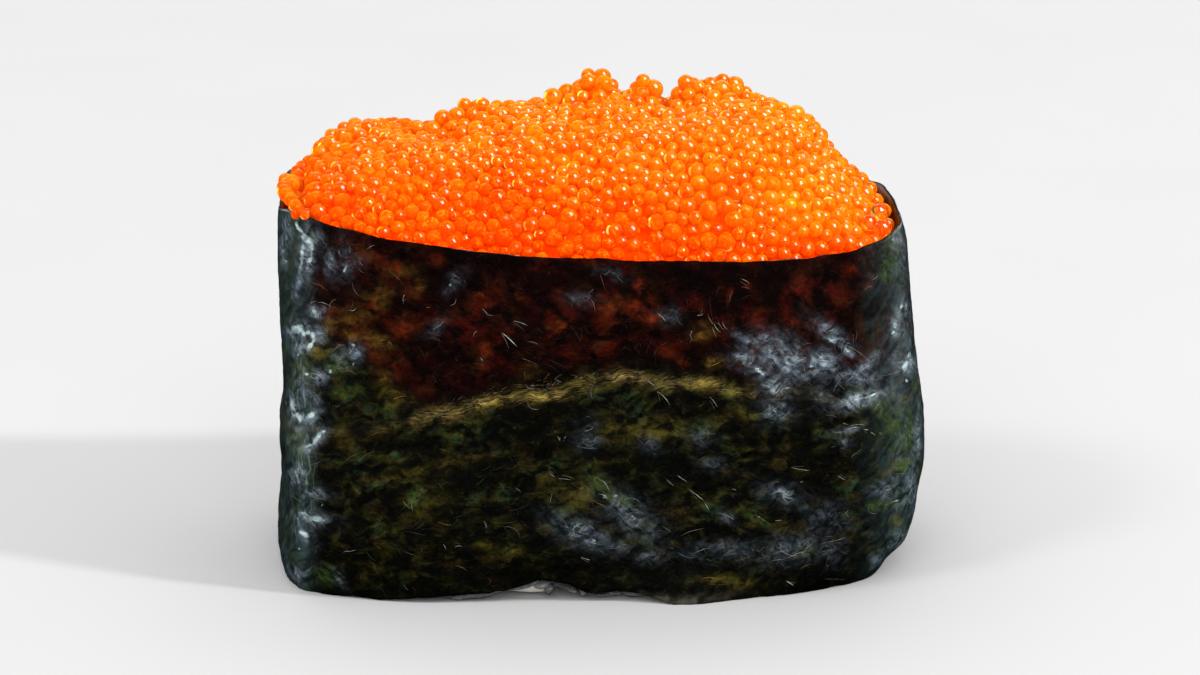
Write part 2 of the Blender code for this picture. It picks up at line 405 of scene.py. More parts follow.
# ---- seaweed sheet ----------------------------------------------------------------
CREASE_AT = (-24.0, -19.0, -14.0, -12.0, -9.3, -6.5, -3.7, 0.0, 2.0, 4.0, 7.2, 8.6, 10.6, 15.0, 20.0, 24.0)
CREASE_HEIGHT = (13.0, 14.0, 15.1, 15.6, 16.4, 16.8, 17.3, 18.3, 18.5, 18.1, 18.0, 17.4, 16.8, 16.4, 15.8, 15.0)
# how much of the pale line shows along it in front
LINE_AT = (-24.0, -15.5, -13.0, -9.0, -1.0, 1.5, 4.5, 7.0, 8.6, 11.0, 13.0, 24.0)
LINE_SHOWS = (0.15, 0.2, 0.75, 1.0, 1.0, 0.8, 0.45, 0.8, 0.7, 0.35, 0.1, 0.1)


def grain_bumps(u, z, face_x):
    """Rice grains that press through the sheet, below the crease."""
    rng = np.random.default_rng(21)
    total = np.zeros_like(z)
    for k in range(230):
        cu, cz = rng.uniform(0, ONCE + LAP), rng.uniform(0.5, 18.5)
        tilt, half, wide = rng.normal(0, 0.7), rng.uniform(2.2, 3.2), rng.uniform(1.0, 1.5)
        amp = rng.uniform(0.5, 1.0)
        du = (u - cu + ONCE / 2) % ONCE - ONCE / 2
        dz = z - cz
        a = (du * np.cos(tilt) + dz * np.sin(tilt)) / half
        b = (-du * np.sin(tilt) + dz * np.cos(tilt)) / wide
        r = a * a + b * b
        near = r < 4
        total[near] = np.maximum(total[near], amp * np.exp(-(r[near] ** 1.3)))
    return total


def seen(p):
    """Where points show in the photograph, across and down, in pixels of 1200 by 675."""
    out = np.array(direction(AZIMUTH, ELEVATION))
    right = np.array([math.cos(math.radians(AZIMUTH)), math.sin(math.radians(AZIMUTH)), 0.0])
    up = np.cross(right, -out)
    d = np.asarray(p, float) - np.array(TARGET)
    scale = LENS / 36.0 * 1200 / (DISTANCE - d @ out)
    return 600 + scale * (d @ right) - SHIFT[0] * 1200, 337.5 - scale * (d @ up) + SHIFT[1] * 1200


def slanted(p, tilt, long, thin):
    """The same points seen in a turned and stretched front view, for slanting folds."""
    c, s = math.cos(tilt), math.sin(tilt)
    x, y, z = p[..., 0], p[..., 1], p[..., 2]
    return np.stack([(x * c + z * s) / long, y, (-x * s + z * c) / thin], -1)


def sheet_relief(p, u, z):
    """Displacement of the sheet's outer face along its normal, in millimetres."""
    x, y = p[..., 0], p[..., 1]
    front = eased(-y, 7, 11)
    crease = through(CREASE_AT, CREASE_HEIGHT, x) + 0.3 * noise(p, 2.2, 5)
    below = 1 - eased(z, crease - 0.45, crease + 0.4)
    warp = p + 0.6 * np.stack([noise(p, 2.6, s) for s in (41, 42, 43)], -1)
    long = warp * np.array([1.0, 1.0, 1.5])
    d = 0.07 * below + 0.16 * below * (grain_bumps(u, z, x) - 0.35)
    d = d - 0.15 * (1 - below) * eased(np.abs(x), 24, 20)
    d = d + 0.10 * noise(p, 6.5, 3) * (1 - below)
    ledge = np.exp(-(((z - crease + 0.30) / 0.42) ** 2)) * front
    d = d + 0.10 * ledge * through(LINE_AT, LINE_SHOWS, x) * (0.7 + 0.3 * noise(p, 1.2, 17))
    crinkle = ridges(long, 2.9, 3, 61)
    d = d + (0.09 * crinkle - 0.045) * (0.55 + 0.45 * noise(p, 7.0, 9))
    d = d - 0.06 * ridges(long + 13.0, 4.3, 2, 77)
    d = d + 0.034 * rough_noise(warp, 0.9, 3, 91, 0.65)
    # crumpled like foil where it is wettest, right of the middle
    foil = np.exp(-(((x - 15.8) / 5.6) ** 2 + ((z - 17.3 - 0.12 * (15.8 - x)) / 2.1) ** 2) ** 1.4) * front
    d = d + foil * (0.20 * ridges(slanted(p, 0.55, 1.0, 0.55), 2.3, 2, 301) - 0.06)
    d = d - foil * 0.12 * ridges(slanted(p, -0.45, 1.0, 0.5), 2.6, 2, 303)
    left = np.exp(-(((x + 17.8) / 3.0) ** 2 + ((z - 26.4) / 2.6) ** 2) ** 1.4) * front
    d = d + left * (0.13 * ridges(slanted(p, 1.15, 1.0, 0.5), 2.1, 2, 305) - 0.05)
    # a short upright groove in front, right of the middle
    d = d - 0.20 * front * np.exp(-(((x - 15.9 - 0.12 * np.sin(2.1 * z)) / 0.26) ** 2)) * (
        eased(z, 13.9, 14.8) * (1 - eased(z, 17.0, 17.8))
    )
    # folds down both front corners
    for fold_x, depth, wide, tilt in (
        (-23.0, 0.16, 0.42, 0.010),
        (-21.9, -0.12, 0.5, -0.01),
        (-20.4, 0.10, 0.5, -0.05),
        (23.0, 0.14, 0.40, -0.015),
        (22.0, -0.12, 0.45, 0.0),
        (20.9, 0.10, 0.5, -0.03),
    ):
        at = fold_x + tilt * (z - 15) + 0.22 * noise(p * np.array([0, 0, 1.0]), 4.0, 15 + int(fold_x))
        d = d + depth * eased(-y, 3, 7) * np.exp(-(((x - at) / wide) ** 2)) * (
            0.65 + 0.35 * noise(p * np.array([0, 0, 1.0]), 2.7, 55 + int(fold_x))
        )
    # both ends: upright ripples
    ends = eased(np.abs(x), 20.5, 23.5)
    d = d + 0.05 * ends * noise(p * np.array([1.0, 1.6, 0.28]), 1.1, 57)
    # the wet foot swells forward a little right of the middle
    d = d + 1.15 * np.exp(-(((x - 6.0) / 3.4) ** 2)) * (1 - eased(z, 0.3, 3.4)) * front
    d = d + 0.25 * (1 - eased(z, 0.3, 3.0)) * front
    # the rim leans out at the right end, most of all at its back
    lean = eased(z, 17.5, 26.5) * eased(x, 15.5, 21.5) * (0.40 + 0.60 * eased(y, -8.0, 3.0))
    d = d + 0.42 * lean * (1 - 0.8 * eased(z, 25.6, 28.0))
    d = d + 0.16 * eased(z, 18.0, 28.0) * eased(-x, 19.5, 23.0)
    bulge = 0.32 * np.exp(-(((z - 1.4) / 1.6) ** 2)) - 0.20 * np.exp(-(((z - 6.6) / 1.5) ** 2)) + 0.18 * np.exp(-(((z - 10.9) / 1.6) ** 2))
    d = d + bulge * eased(-x, 19.5, 23.5)
    bulge = 0.14 * np.exp(-(((z - 2.3) / 1.1) ** 2)) - 0.27 * np.exp(-(((z - 6.3) / 1.5) ** 2))
    d = d + bulge * eased(x, 20.0, 23.5)
    return d


def seaweed_sheet(material):
    # the columns lie closer together in front than at the back
    run = np.linspace(0, ONCE + LAP, 3000)
    _, side = outline(np.interp(run % ONCE, RUN, DENSE), 0.5)
    closer = np.cumsum(1 + 0.9 * eased(-side, -1.0, 5.0))
    s = np.interp(np.linspace(closer[0], closer[-1], SHEET_COLUMNS), closer, run)
    t = np.linspace(0, 1, SHEET_ROWS)

    def base(rows):
        ss, tt = np.meshgrid(s, rows)
        cut = 0.12 * noise(np.stack([0 * rows + 3.1, rows * 28, 0 * rows], -1), 2.4, 7)[:, None]
        ss = ss + cut * (1 - eased(ss, 0, 4)) + cut[::-1] * eased(ss, ONCE + LAP - 4, ONCE + LAP)
        ss = np.clip(ss, 0, ONCE + LAP)
        angle = np.interp(ss % ONCE, RUN, DENSE)
        lift = (STRIP_THICK + LAP_GAP) * eased(ss, ONCE - LAP_RAMP, ONCE - 0.6)
        x, y = outline(angle, tt, -lift)
        step = LAP_STEP * eased(ss, ONCE - 12.0, ONCE + LAP)
        edge = np.stack([x, y, 0 * x], -1)
        low = EDGE_FLOAT + through(LIFT_AT, LIFT, x) * eased(-y, 4.0, 9.0)
        low = low + 0.10 * eased(noise(edge, 1.6, 28), 0, 1) + 0.05 * eased(noise(edge, 0.6, 29), 0, 1)
        high = rim_height(x) + step - 0.10 + 0.09 * noise(edge, 2.1, 12) + 0.04 * noise(edge, 0.6, 13)
        high = high - 1.2 * eased(y, -9.5, -3.0) * (1 - eased(x, -24.4, -19.0))
        high = high + 0.15 * eased(x, 17.0, 21.5) * eased(y, -8.0, 2.0)
        high = high - 0.85 * eased(x, 22.7, 23.9)
        z = low + (high - low) * tt
        x, y = outline(angle, share_at(x, z), -lift)
        return np.stack([x, y, z], -1), ss

    def normals(p):
        du, dv = np.gradient(p, axis=1), np.gradient(p, axis=0)
        n = np.cross(du, dv)
        return n / np.linalg.norm(n, axis=-1, keepdims=True)

    outer, ss = base(t)
    n = normals(outer)
    relief = sheet_relief(outer, ss % ONCE, outer[..., 2])
    # the sheet lies on itself at the lap, so both layers get the same broad relief
    back = SHEET_BACK * (1 - 0.95 * eased(np.abs(outer[..., 0]), 18.5, 23.0))
    outer = outer + n * (relief - back)[..., None]
    outer[..., 2] = np.clip(outer[..., 2], 0.02, None)
    few = np.linspace(0, 1, INNER_ROWS)
    inner, si = base(few)
    lowest = relief.copy()
    for k in range(1, SHEET_ROWS // INNER_ROWS + 2):
        lowest[k:] = np.minimum(lowest[k:], relief[:-k])
        lowest[:-k] = np.minimum(lowest[:-k], relief[k:])
    inner_relief = np.array(
        [np.interp(few, t, lowest[:, k]) for k in range(SHEET_COLUMNS)]
    ).T
    inner_back = np.array([np.interp(few, t, back[:, k]) for k in range(SHEET_COLUMNS)]).T
    inner_shift = np.minimum(inner_relief * 0.8 + 0.04, inner_relief + 0.08)
    inner = inner + normals(inner) * (inner_shift - inner_back - SHEET_THICK)[..., None]
    inner[..., 2] = np.clip(inner[..., 2], 0.02, None)
    inner[0, :, 2], inner[-1, :, 2] = outer[0, :, 2], outer[-1, :, 2]
    # a rounded edge at the top and the bottom
    top = (outer[-1] + inner[-1]) / 2 + np.array([0, 0, 0.05])
    foot = (outer[0] + inner[0]) / 2 - np.array([0, 0, 0.01])
    c = SHEET_COLUMNS
    rows = np.concatenate([outer, top[None], inner[::-1], foot[None]])
    verts = rows.reshape(-1, 3)
    count = len(rows)
    faces = [grid_faces(count, c)]
    i = np.arange(c - 1)
    last = (count - 1) * c
    faces.append(np.stack([last + i, last + i + 1, i + 1, i], -1))
    # the two cut ends: strips between the outer and the inner rows
    ends = []
    for column, flip in ((0, True), (c - 1, False)):
        out_i = [r * c + column for r in range(SHEET_ROWS)]
        in_i = [(SHEET_ROWS + 1 + k) * c + column for k in range(INNER_ROWS)][::-1]
        top_i, foot_i = SHEET_ROWS * c + column, (count - 1) * c + column
        tris = [(foot_i, out_i[0], in_i[0])]
        a = b = 0
        while a < SHEET_ROWS - 1 or b < INNER_ROWS - 1:
            fa = (a + 1) / (SHEET_ROWS - 1) if a < SHEET_ROWS - 1 else 2
            fb = (b + 1) / (INNER_ROWS - 1) if b < INNER_ROWS - 1 else 2
            if fa <= fb:
                tris.append((in_i[b], out_i[a], out_i[a + 1]))
                a += 1
            else:
                tris.append((in_i[b], out_i[a], in_i[b + 1]))
                b += 1
        tris.append((in_i[-1], out_i[-1], top_i))
        tris = np.array(tris)
        ends.append(tris[:, ::-1] if flip else tris)
    faces.append(np.concatenate(ends))
    obj = mesh_object("nori_sheet", verts, faces, material)
    # where each point lies on the laid-out sheet, for the material's fibres
    places = np.concatenate(
        [
            np.stack([ss, outer[..., 2], 0 * ss], -1),
            np.stack([ss[-1], top[:, 2], 0 * ss[-1]], -1)[None],
            np.stack([si, inner[..., 2], 0 * si + 9.0], -1)[::-1],
            np.stack([ss[0], foot[:, 2], 0 * ss[0]], -1)[None],
        ]
    )
    paint(obj, "place", places.reshape(-1, 3))
    # masks: the warm part above the crease, where painted glow shows, the crease itself, wet patches where sheen is
    # painted, and painted shade
    p = rows
    x, y, z = p[..., 0], p[..., 1], p[..., 2]
    front = eased(-y, 7, 11)
    crease = through(CREASE_AT, CREASE_HEIGHT, x) + 0.3 * noise(p, 2.2, 5)
    border = crease + 7.0 * (1 - eased(x, -22.0, -13.5)) * front
    above = eased(z, border - 0.1 + 0.5 * noise(p, 1.1, 19), border + 1.9)
    line = np.exp(-(((z - crease + 0.22) / 0.46) ** 2)) * (0.6 + 0.4 * noise(p * np.array([0.6, 1, 1.3]), 1.0, 33))
    line = line * (front * through(LINE_AT, LINE_SHOWS, x) + (1 - front) * 0.35)
    # patches that face the photographer are laid out as they show from there
    toward = np.zeros_like(x)
    toward[:SHEET_ROWS] = eased(n @ np.array(direction(AZIMUTH, ELEVATION)), 0.0, 0.12)
    across, down = seen(p + 0.10 * noise(p, 0.8, 93)[..., None])
    # painted sheen: bluish patches where the wet sheet shines, placed as they show in front and at random where they
    # don't
    wet = streaks(SHEEN_PATCHES, across, down, 0.9) * toward
    loose = p + 2.2 * np.stack([rough_noise(p, 3.2, 3, k) for k in (101, 102, 103)], -1)
    away = 0.6 * eased(rough_noise(loose * np.array([1, 1, 1.6]), 5.0, 3, 71), 0.20, 0.6) * (1 - toward)
    wet = np.maximum(wet, away)
    # painted glints: bright spots and streaks, kept in the edges' alpha
    glint = streaks(GLINTS, across, down) * toward
    glint = np.maximum(glint, 0.8 * eased(ridges(p * np.array([1, 1, 0.7]), 2.2, 2, 72), 0.55, 0.9) * eased(away, 0.2, 0.5))
    # painted shade: a dark band just above the border, where the ledge shades the sheet, and darker just under the
    # rim
    shade = 1 - 0.65 * np.exp(-(((z - border - 1.0) / 0.9) ** 2))
    shade = shade * (1 - 0.55 * eased(z, rim_height(x) - 2.2, rim_height(x) - 0.3))
    zones = np.stack([above, np.clip(line, 0, 1), np.clip(wet, 0, 1), shade], -1)
    paint(obj, "zones", zones.reshape(-1, 4))
    # the ends turn blue-green, partly painted sheen where they catch the side lamps, weaker at the right
    sway = (0.7 + 1.3 * (1 - toward)) * rough_noise(p, 3.0, 3, 88)
    teal = 1 - eased(x + sway, -23.5, -21.5) * (1 - 0.64 * eased(x + sway, 18.5, 23.0))
    # painted glow: spots where the eggs show hottest through the sheet
    hot = streaks(HOT_SPOTS, across, down) * toward
    gold = streaks(GOLD_SPOTS, across, down) * toward
    gold = np.maximum(gold, 0.6 * eased(rough_noise(loose * np.array([1, 1, 1.5]), 4.2, 3, 73), 0.16, 0.62) * (1 - toward))
    hot = np.maximum(hot, 0.7 * eased(rough_noise(loose, 3.4, 3, 74), 0.14, 0.55) * (1 - toward))
    paint(obj, "edges", np.stack([teal, hot, gold, np.clip(glint, 0, 1)], -1).reshape(-1, 4))
    # the front corners: painted glints along their folds, and coat gloss there
    corner = np.exp(-(((x + 22.9) / 0.75) ** 2)) + 0.45 * np.exp(-(((x - 22.9) / 0.75) ** 2))
    corner = corner * eased(-y, 4, 8) * eased(rough_noise(p * np.array([1, 1, 0.6]), 3.0, 3, 51), -0.25, 0.35)
    side = np.zeros_like(x)
    side[SHEET_ROWS + 1 : SHEET_ROWS + 1 + INNER_ROWS] = 1.0
    pale = np.exp(-(((x - 4.6) / 4.4) ** 2)) * (1 - eased(z + 0.25 * noise(p, 0.9, 63), 0.35, 1.15)) * front
    green = streaks(GREEN_SPOTS, across, down) * toward
    green = np.maximum(green, 0.6 * eased(rough_noise(loose, 3.8, 3, 75), 0.18, 0.62) * (1 - toward))
    paint(obj, "marks", np.stack([side, np.clip(corner, 0, 1), pale, green], -1).reshape(-1, 4))
    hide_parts("nori_band")
    return obj, outer, normals(outer), s, t


def streaks(patches, across, down, firm=1.2):
    """How much each point lies in one of these slanting oval patches of the photograph."""
    total = np.zeros_like(across)
    for px, py, long, wide, tilt, amount in patches:
        dx, dy = across - px, py - down
        c, s = math.cos(math.radians(tilt)), math.sin(math.radians(tilt))
        a, b = (dx * c + dy * s) / long, (-dx * s + dy * c) / wide
        total = np.maximum(total, amount * np.exp(-((a * a + b * b) ** firm)))
    return total


# patches of the front as the photograph shows them, in its pixels:
# across, down, half length, half width, tilt in degrees, amount
# painted sheen: where the wet sheet shines bluish
SHEEN_PATCHES = (
    # left corner, from the rim down
    (287, 229, 14, 5, 90, 0.70),
    (307, 252, 24, 8, 84, 0.90),
    (314, 237, 7, 5, 0, 0.80),
    (298, 283, 15, 4, 78, 0.75),
    (330, 262, 13, 6, 100, 0.46),
    (346, 261, 17, 6, 95, 0.30),
    (283, 246, 26, 4, 90, 0.75),
    (315, 313, 8, 7, 0, 0.85),
    (299, 330, 13, 8, 0, 1.00),
    (317, 335, 7, 8, 80, 0.95),
    (301, 349, 10, 8, 45, 0.95),
    (319, 376, 10, 8, 50, 1.00),
    (303, 386, 18, 9, 90, 0.45),
    (315, 398, 9, 4, -50, 0.70),
    (296, 411, 16, 6, -65, 1.00),
    (312, 416, 9, 6, 40, 1.00),
    (316, 440, 15, 5, 55, 0.90),
    (297, 475, 12, 8, 80, 0.90),
    (315, 493, 14, 5, -10, 0.65),
    (312, 519, 17, 7, -8, 1.00),
    (304, 534, 11, 6, -28, 0.85),
    (296, 574, 9, 7, -50, 0.75),
    (339, 579, 9, 4, -55, 0.60),
    (354, 354, 7, 8, 0, 0.85),
    (341, 358, 10, 10, 0, 0.50),
    # above the crease
    (454, 282, 13, 6, 55, 0.17),
    (436, 327, 11, 6, 40, 0.13),
    (580, 299, 12, 6, 0, 0.25),
    (612, 275, 14, 5, -20, 0.15),
    (669, 316, 10, 6, 0, 0.26),
    (357, 262, 6, 8, 90, 0.18),
    # the crumpled wet patch right of the middle
    (785, 359, 23, 15, -28, 1.00),
    (765, 339, 11, 6, -10, 0.62),
    (746, 339, 12, 4, -25, 0.50),
    (745, 358, 10, 7, -35, 0.90),
    (756, 369, 20, 6, -22, 0.80),
    (822, 364, 16, 11, -15, 0.90),
    (834, 336, 19, 6, -38, 0.80),
    (846, 350, 12, 5, -25, 0.62),
    (868, 363, 18, 5, 38, 0.55),
    (858, 378, 25, 7, -4, 0.55),
    (860, 400, 24, 7, 14, 1.00),
    (774, 387, 14, 8, -20, 0.75),
    (776, 411, 13, 10, 0, 0.80),
    (822, 396, 10, 9, 80, 0.32),
    (790, 379, 14, 6, 0, 0.40),
    # below the crease
    (588, 436, 11, 12, 0, 0.40),
    (650, 442, 10, 8, -40, 0.30),
    (702, 436, 11, 8, 0, 0.38),
    (714, 464, 11, 6, -10, 0.38),
    (630, 516, 28, 13, -35, 0.70),
    (581, 533, 29, 11, -25, 0.68),
    (615, 547, 12, 6, -10, 0.45),
    (650, 557, 14, 6, 0, 0.50),
    (727, 516, 8, 4, -25, 0.60),
    (727, 550, 34, 9, 2, 0.42),
    (784, 495, 19, 9, -20, 0.62),
    (843, 442, 8, 5, 0, 0.40),
    (790, 548, 29, 12, 8, 0.50),
    (828, 550, 16, 12, 0, 0.40),
    (830, 520, 18, 14, 0, 0.36),
    (885, 491, 12, 9, 0, 0.65),
    (877, 559, 8, 6, 50, 0.60),
    (848, 430, 16, 4, 10, 0.50),
    # right corner
    (897, 232, 7, 14, 5, 0.50),
    (905, 262, 7, 28, 4, 0.25),
    (901, 309, 8, 8, 50, 0.75),
    (897, 328, 8, 10, 30, 0.80),
    (909, 345, 6, 22, 0, 0.32),
    (906, 364, 9, 12, 50, 0.90),
    (918, 430, 5, 30, 0, 0.60),
    (912, 490, 6, 26, 0, 0.70),
    (899, 540, 9, 14, -35, 0.60),
)
# painted glints: the brightest spots and streaks
GLINTS = (
    (888, 258, 1.8, 7, 22, 0.50),
    (893, 238, 1.6, 6, 12, 0.46),
    (884, 275, 1.5, 5, 25, 0.42),
    (299, 227, 8, 2.2, -55, 0.85),
    (306, 239, 7, 4.0, -38, 1.00),
    (302, 258, 19, 2.4, 84, 0.78),
    (312, 250, 9, 2.2, 85, 0.80),
    (309, 261, 6, 2.6, 55, 0.95),
    (286, 227, 6, 3.0, -80, 0.50),
    (285, 262, 5, 2.0, -50, 0.60),
    (331, 259, 4, 2.0, -50, 0.55),
    (345, 269, 7, 2.2, 60, 0.60),
    (340, 252, 9, 1.6, 85, 0.45),
    (350, 250, 9, 1.6, 88, 0.45),
    (314, 312, 3, 2.6, 0, 0.75),
    (297, 329, 7, 5.0, 20, 1.00),
    (306, 333, 5, 3.0, 0, 0.75),
    (313, 335, 3, 3.4, 0, 0.85),
    (311, 345, 7, 2.6, 58, 0.95),
    (299, 354, 3, 2.0, 70, 0.75),
    (307, 374, 3, 1.8, -10, 0.85),
    (318, 377, 6, 4.0, 45, 0.55),
    (330, 372, 2.4, 2.0, 0, 0.80),
    (293, 405, 7, 2.6, -68, 0.80),
    (298, 417, 6, 3.0, -50, 1.00),
    (311, 415, 5, 3.4, 40, 1.00),
    (303, 416, 5, 1.8, 80, 0.55),
    (323, 432, 5, 2.0, 30, 0.80),
    (317, 438, 9, 2.4, 58, 0.90),
    (309, 446, 5, 2.0, 10, 0.80),
    (296, 474, 6, 3.6, 60, 0.60),
    (305, 515, 7, 2.6, -20, 0.80),
    (315, 519, 9, 3.2, -5, 0.90),
    (324, 520, 4, 2.0, 10, 0.65),
    (303, 534, 8, 2.6, -30, 0.85),
    (299, 549, 2.4, 2.0, 0, 0.80),
    (322, 505, 3, 1.4, 40, 0.60),
    (353, 346, 3.5, 2.2, 0, 0.80),
    (353, 365, 1.8, 2.6, 0, 0.80),
    (450, 285, 3.5, 2.2, 60, 0.55),
    (613, 273, 5, 1.8, -15, 0.50),
    (788, 363, 5, 9, 15, 0.50),
    (783, 352, 4, 6, 20, 0.48),
    (775, 357, 4, 5, 0, 0.50),
    (743, 364, 4, 2.2, 0, 0.80),
    (758, 371, 8, 2.6, -22, 0.80),
    (769, 386, 5, 3, -30, 0.50),
    (812, 366, 2.6, 2.2, 0, 0.75),
    (822, 366, 6, 4, 0, 0.50),
    (832, 340, 7, 2.0, -35, 0.70),
    (847, 350, 5, 2.4, -30, 0.70),
    (752, 341, 5, 1.6, -30, 0.60),
    (862, 398, 9, 2.6, 10, 0.60),
    (872, 396, 8, 2.0, 32, 0.80),
    (848, 404, 7, 2.0, 20, 0.60),
    (776, 410, 4, 3.4, 0, 0.48),
    (787, 388, 7, 1.4, -4, 0.55),
    (604, 497, 4, 3, 0, 0.70),
    (616, 496, 3, 2, 0, 0.70),
    (566, 527, 4, 3, -20, 0.48),
    (595, 541, 8, 1.6, -14, 0.50),
    (633, 516, 9, 2.2, -35, 0.48),
    (779, 491, 4, 3, 0, 0.52),
    (843, 442, 3, 2, 0, 0.60),
    (901, 307, 2.4, 4, -30, 0.85),
    (895, 325, 3, 2.4, 40, 0.85),
    (893, 332, 3.5, 2.2, 40, 0.80),
    (909, 355, 2.4, 5, -25, 0.80),
    (905, 366, 3, 4.5, -30, 1.00),
    (906, 381, 3, 2.4, 30, 0.80),
    (891, 541, 2, 2, 0, 0.70),
    (896, 502, 3, 1.8, 20, 0.60),
)
# painted glow: where the eggs show hottest red through the sheet
HOT_SPOTS = (
    (397, 266, 7, 6, 60, 0.70),
    (374, 307, 8, 6, 80, 0.75),
    (436, 260, 8, 6, 0, 0.55),
    (486, 349, 8, 6, 0, 0.75),
    (517, 294, 24, 4, -33, 0.50),
    (480, 292, 6, 4, -30, 0.55),
    (404, 330, 14, 8, 20, 0.35),
    (600, 262, 12, 5, 0, 0.45),
    (640, 288, 8, 6, -40, 0.85),
    (648, 300, 6, 5, 0, 0.80),
    (653, 318, 6, 5, 0, 0.95),
    (639, 310, 15, 12, 0, 0.60),
    (611, 318, 14, 10, 70, 0.40),
    (562, 328, 7, 3, 50, 0.85),
    (549, 337, 5, 3, 20, 0.65),
    (686, 363, 7, 5, -20, 0.90),
    (666, 352, 10, 6, -20, 0.40),
    (731, 296, 3, 8, -10, 0.60),
    (746, 284, 8, 3, -35, 0.50),
    (590, 374, 6, 3, 40, 0.60),
    (816, 572, 7, 5, 0, 0.70),
    (748, 563, 8, 4, 20, 0.60),
    (855, 268, 8, 5, 30, 0.50),
    (864, 286, 8, 4, 20, 0.50),
)
GOLD_SPOTS = (
    (374, 300, 20, 13, 30, 0.30),
    (350, 320, 15, 12, 0, 0.34),
    (396, 270, 20, 9, 0, 0.20),
    (420, 284, 6, 5, 60, 0.80),
    (374, 341, 18, 7, -10, 0.55),
    (352, 336, 14, 6, -25, 0.80),
    (331, 324, 8, 16, -20, 0.55),
    (316, 349, 12, 12, 40, 0.75),
    (306, 362, 8, 9, 0, 0.55),
    (392, 396, 20, 8, 0, 0.40),
    (385, 376, 10, 6, 10, 0.45),
    (700, 332, 10, 8, 0, 0.65),
    (715, 362, 9, 6, 20, 1.00),
    (697, 384, 12, 6, -10, 1.00),
    (734, 393, 16, 4, -8, 0.55),
    (748, 413, 10, 7, -20, 0.75),
    (648, 430, 46, 9, 2, 0.55),
    (637, 433, 9, 6, 20, 0.60),
    (574, 490, 26, 14, -10, 0.42),
    (728, 581, 26, 6, -2, 0.50),
    (424, 505, 22, 14, 0, 0.30),
    (372, 570, 8, 10, -60, 0.40),
    (530, 372, 9, 5, 0, 0.60),
    (898, 519, 4, 6, 0, 0.60),
    (892, 466, 14, 5, 25, 0.45),
    (788, 530, 14, 7, 0, 0.40),
    (500, 548, 26, 5, -8, 0.45),
    (430, 470, 40, 9, 12, 0.28),
)
GREEN_SPOTS = (
    (889, 262, 7, 20, -14, 0.8),
    (908, 432, 6, 16, -5, 1.00),
    (895, 420, 14, 16, 0, 0.60),
    (880, 408, 8, 8, 0, 0.70),
    (902, 466, 13, 5, 25, 0.90),
    (880, 506, 14, 4, 5, 0.80),
    (416, 497, 7, 9, -30, 0.80),
    (336, 366, 14, 12, 0, 0.55),
    (304, 376, 9, 10, 0, 0.50),
    (348, 392, 16, 8, 0, 0.35),
    (598, 484, 14, 10, -40, 0.60),
    (618, 500, 16, 5, -20, 0.60),
    (891, 255, 6, 16, -8, 0.70),
    (896, 228, 3, 7, 0, 0.80),
    (760, 520, 13, 5, -30, 0.60),
    (807, 551, 9, 5, 30, 0.60),
    (303, 366, 10, 10, 0, 0.55),
    (300, 440, 6, 12, 0, 0.50),
    (289, 437, 3, 16, 0, 0.70),
    (285, 350, 2.4, 10, 0, 0.60),
    (313, 237, 5, 4, 0, 0.60),
    (700, 428, 10, 8, 0, 0.40),
    (326, 575, 12, 10, 0, 0.50),
)


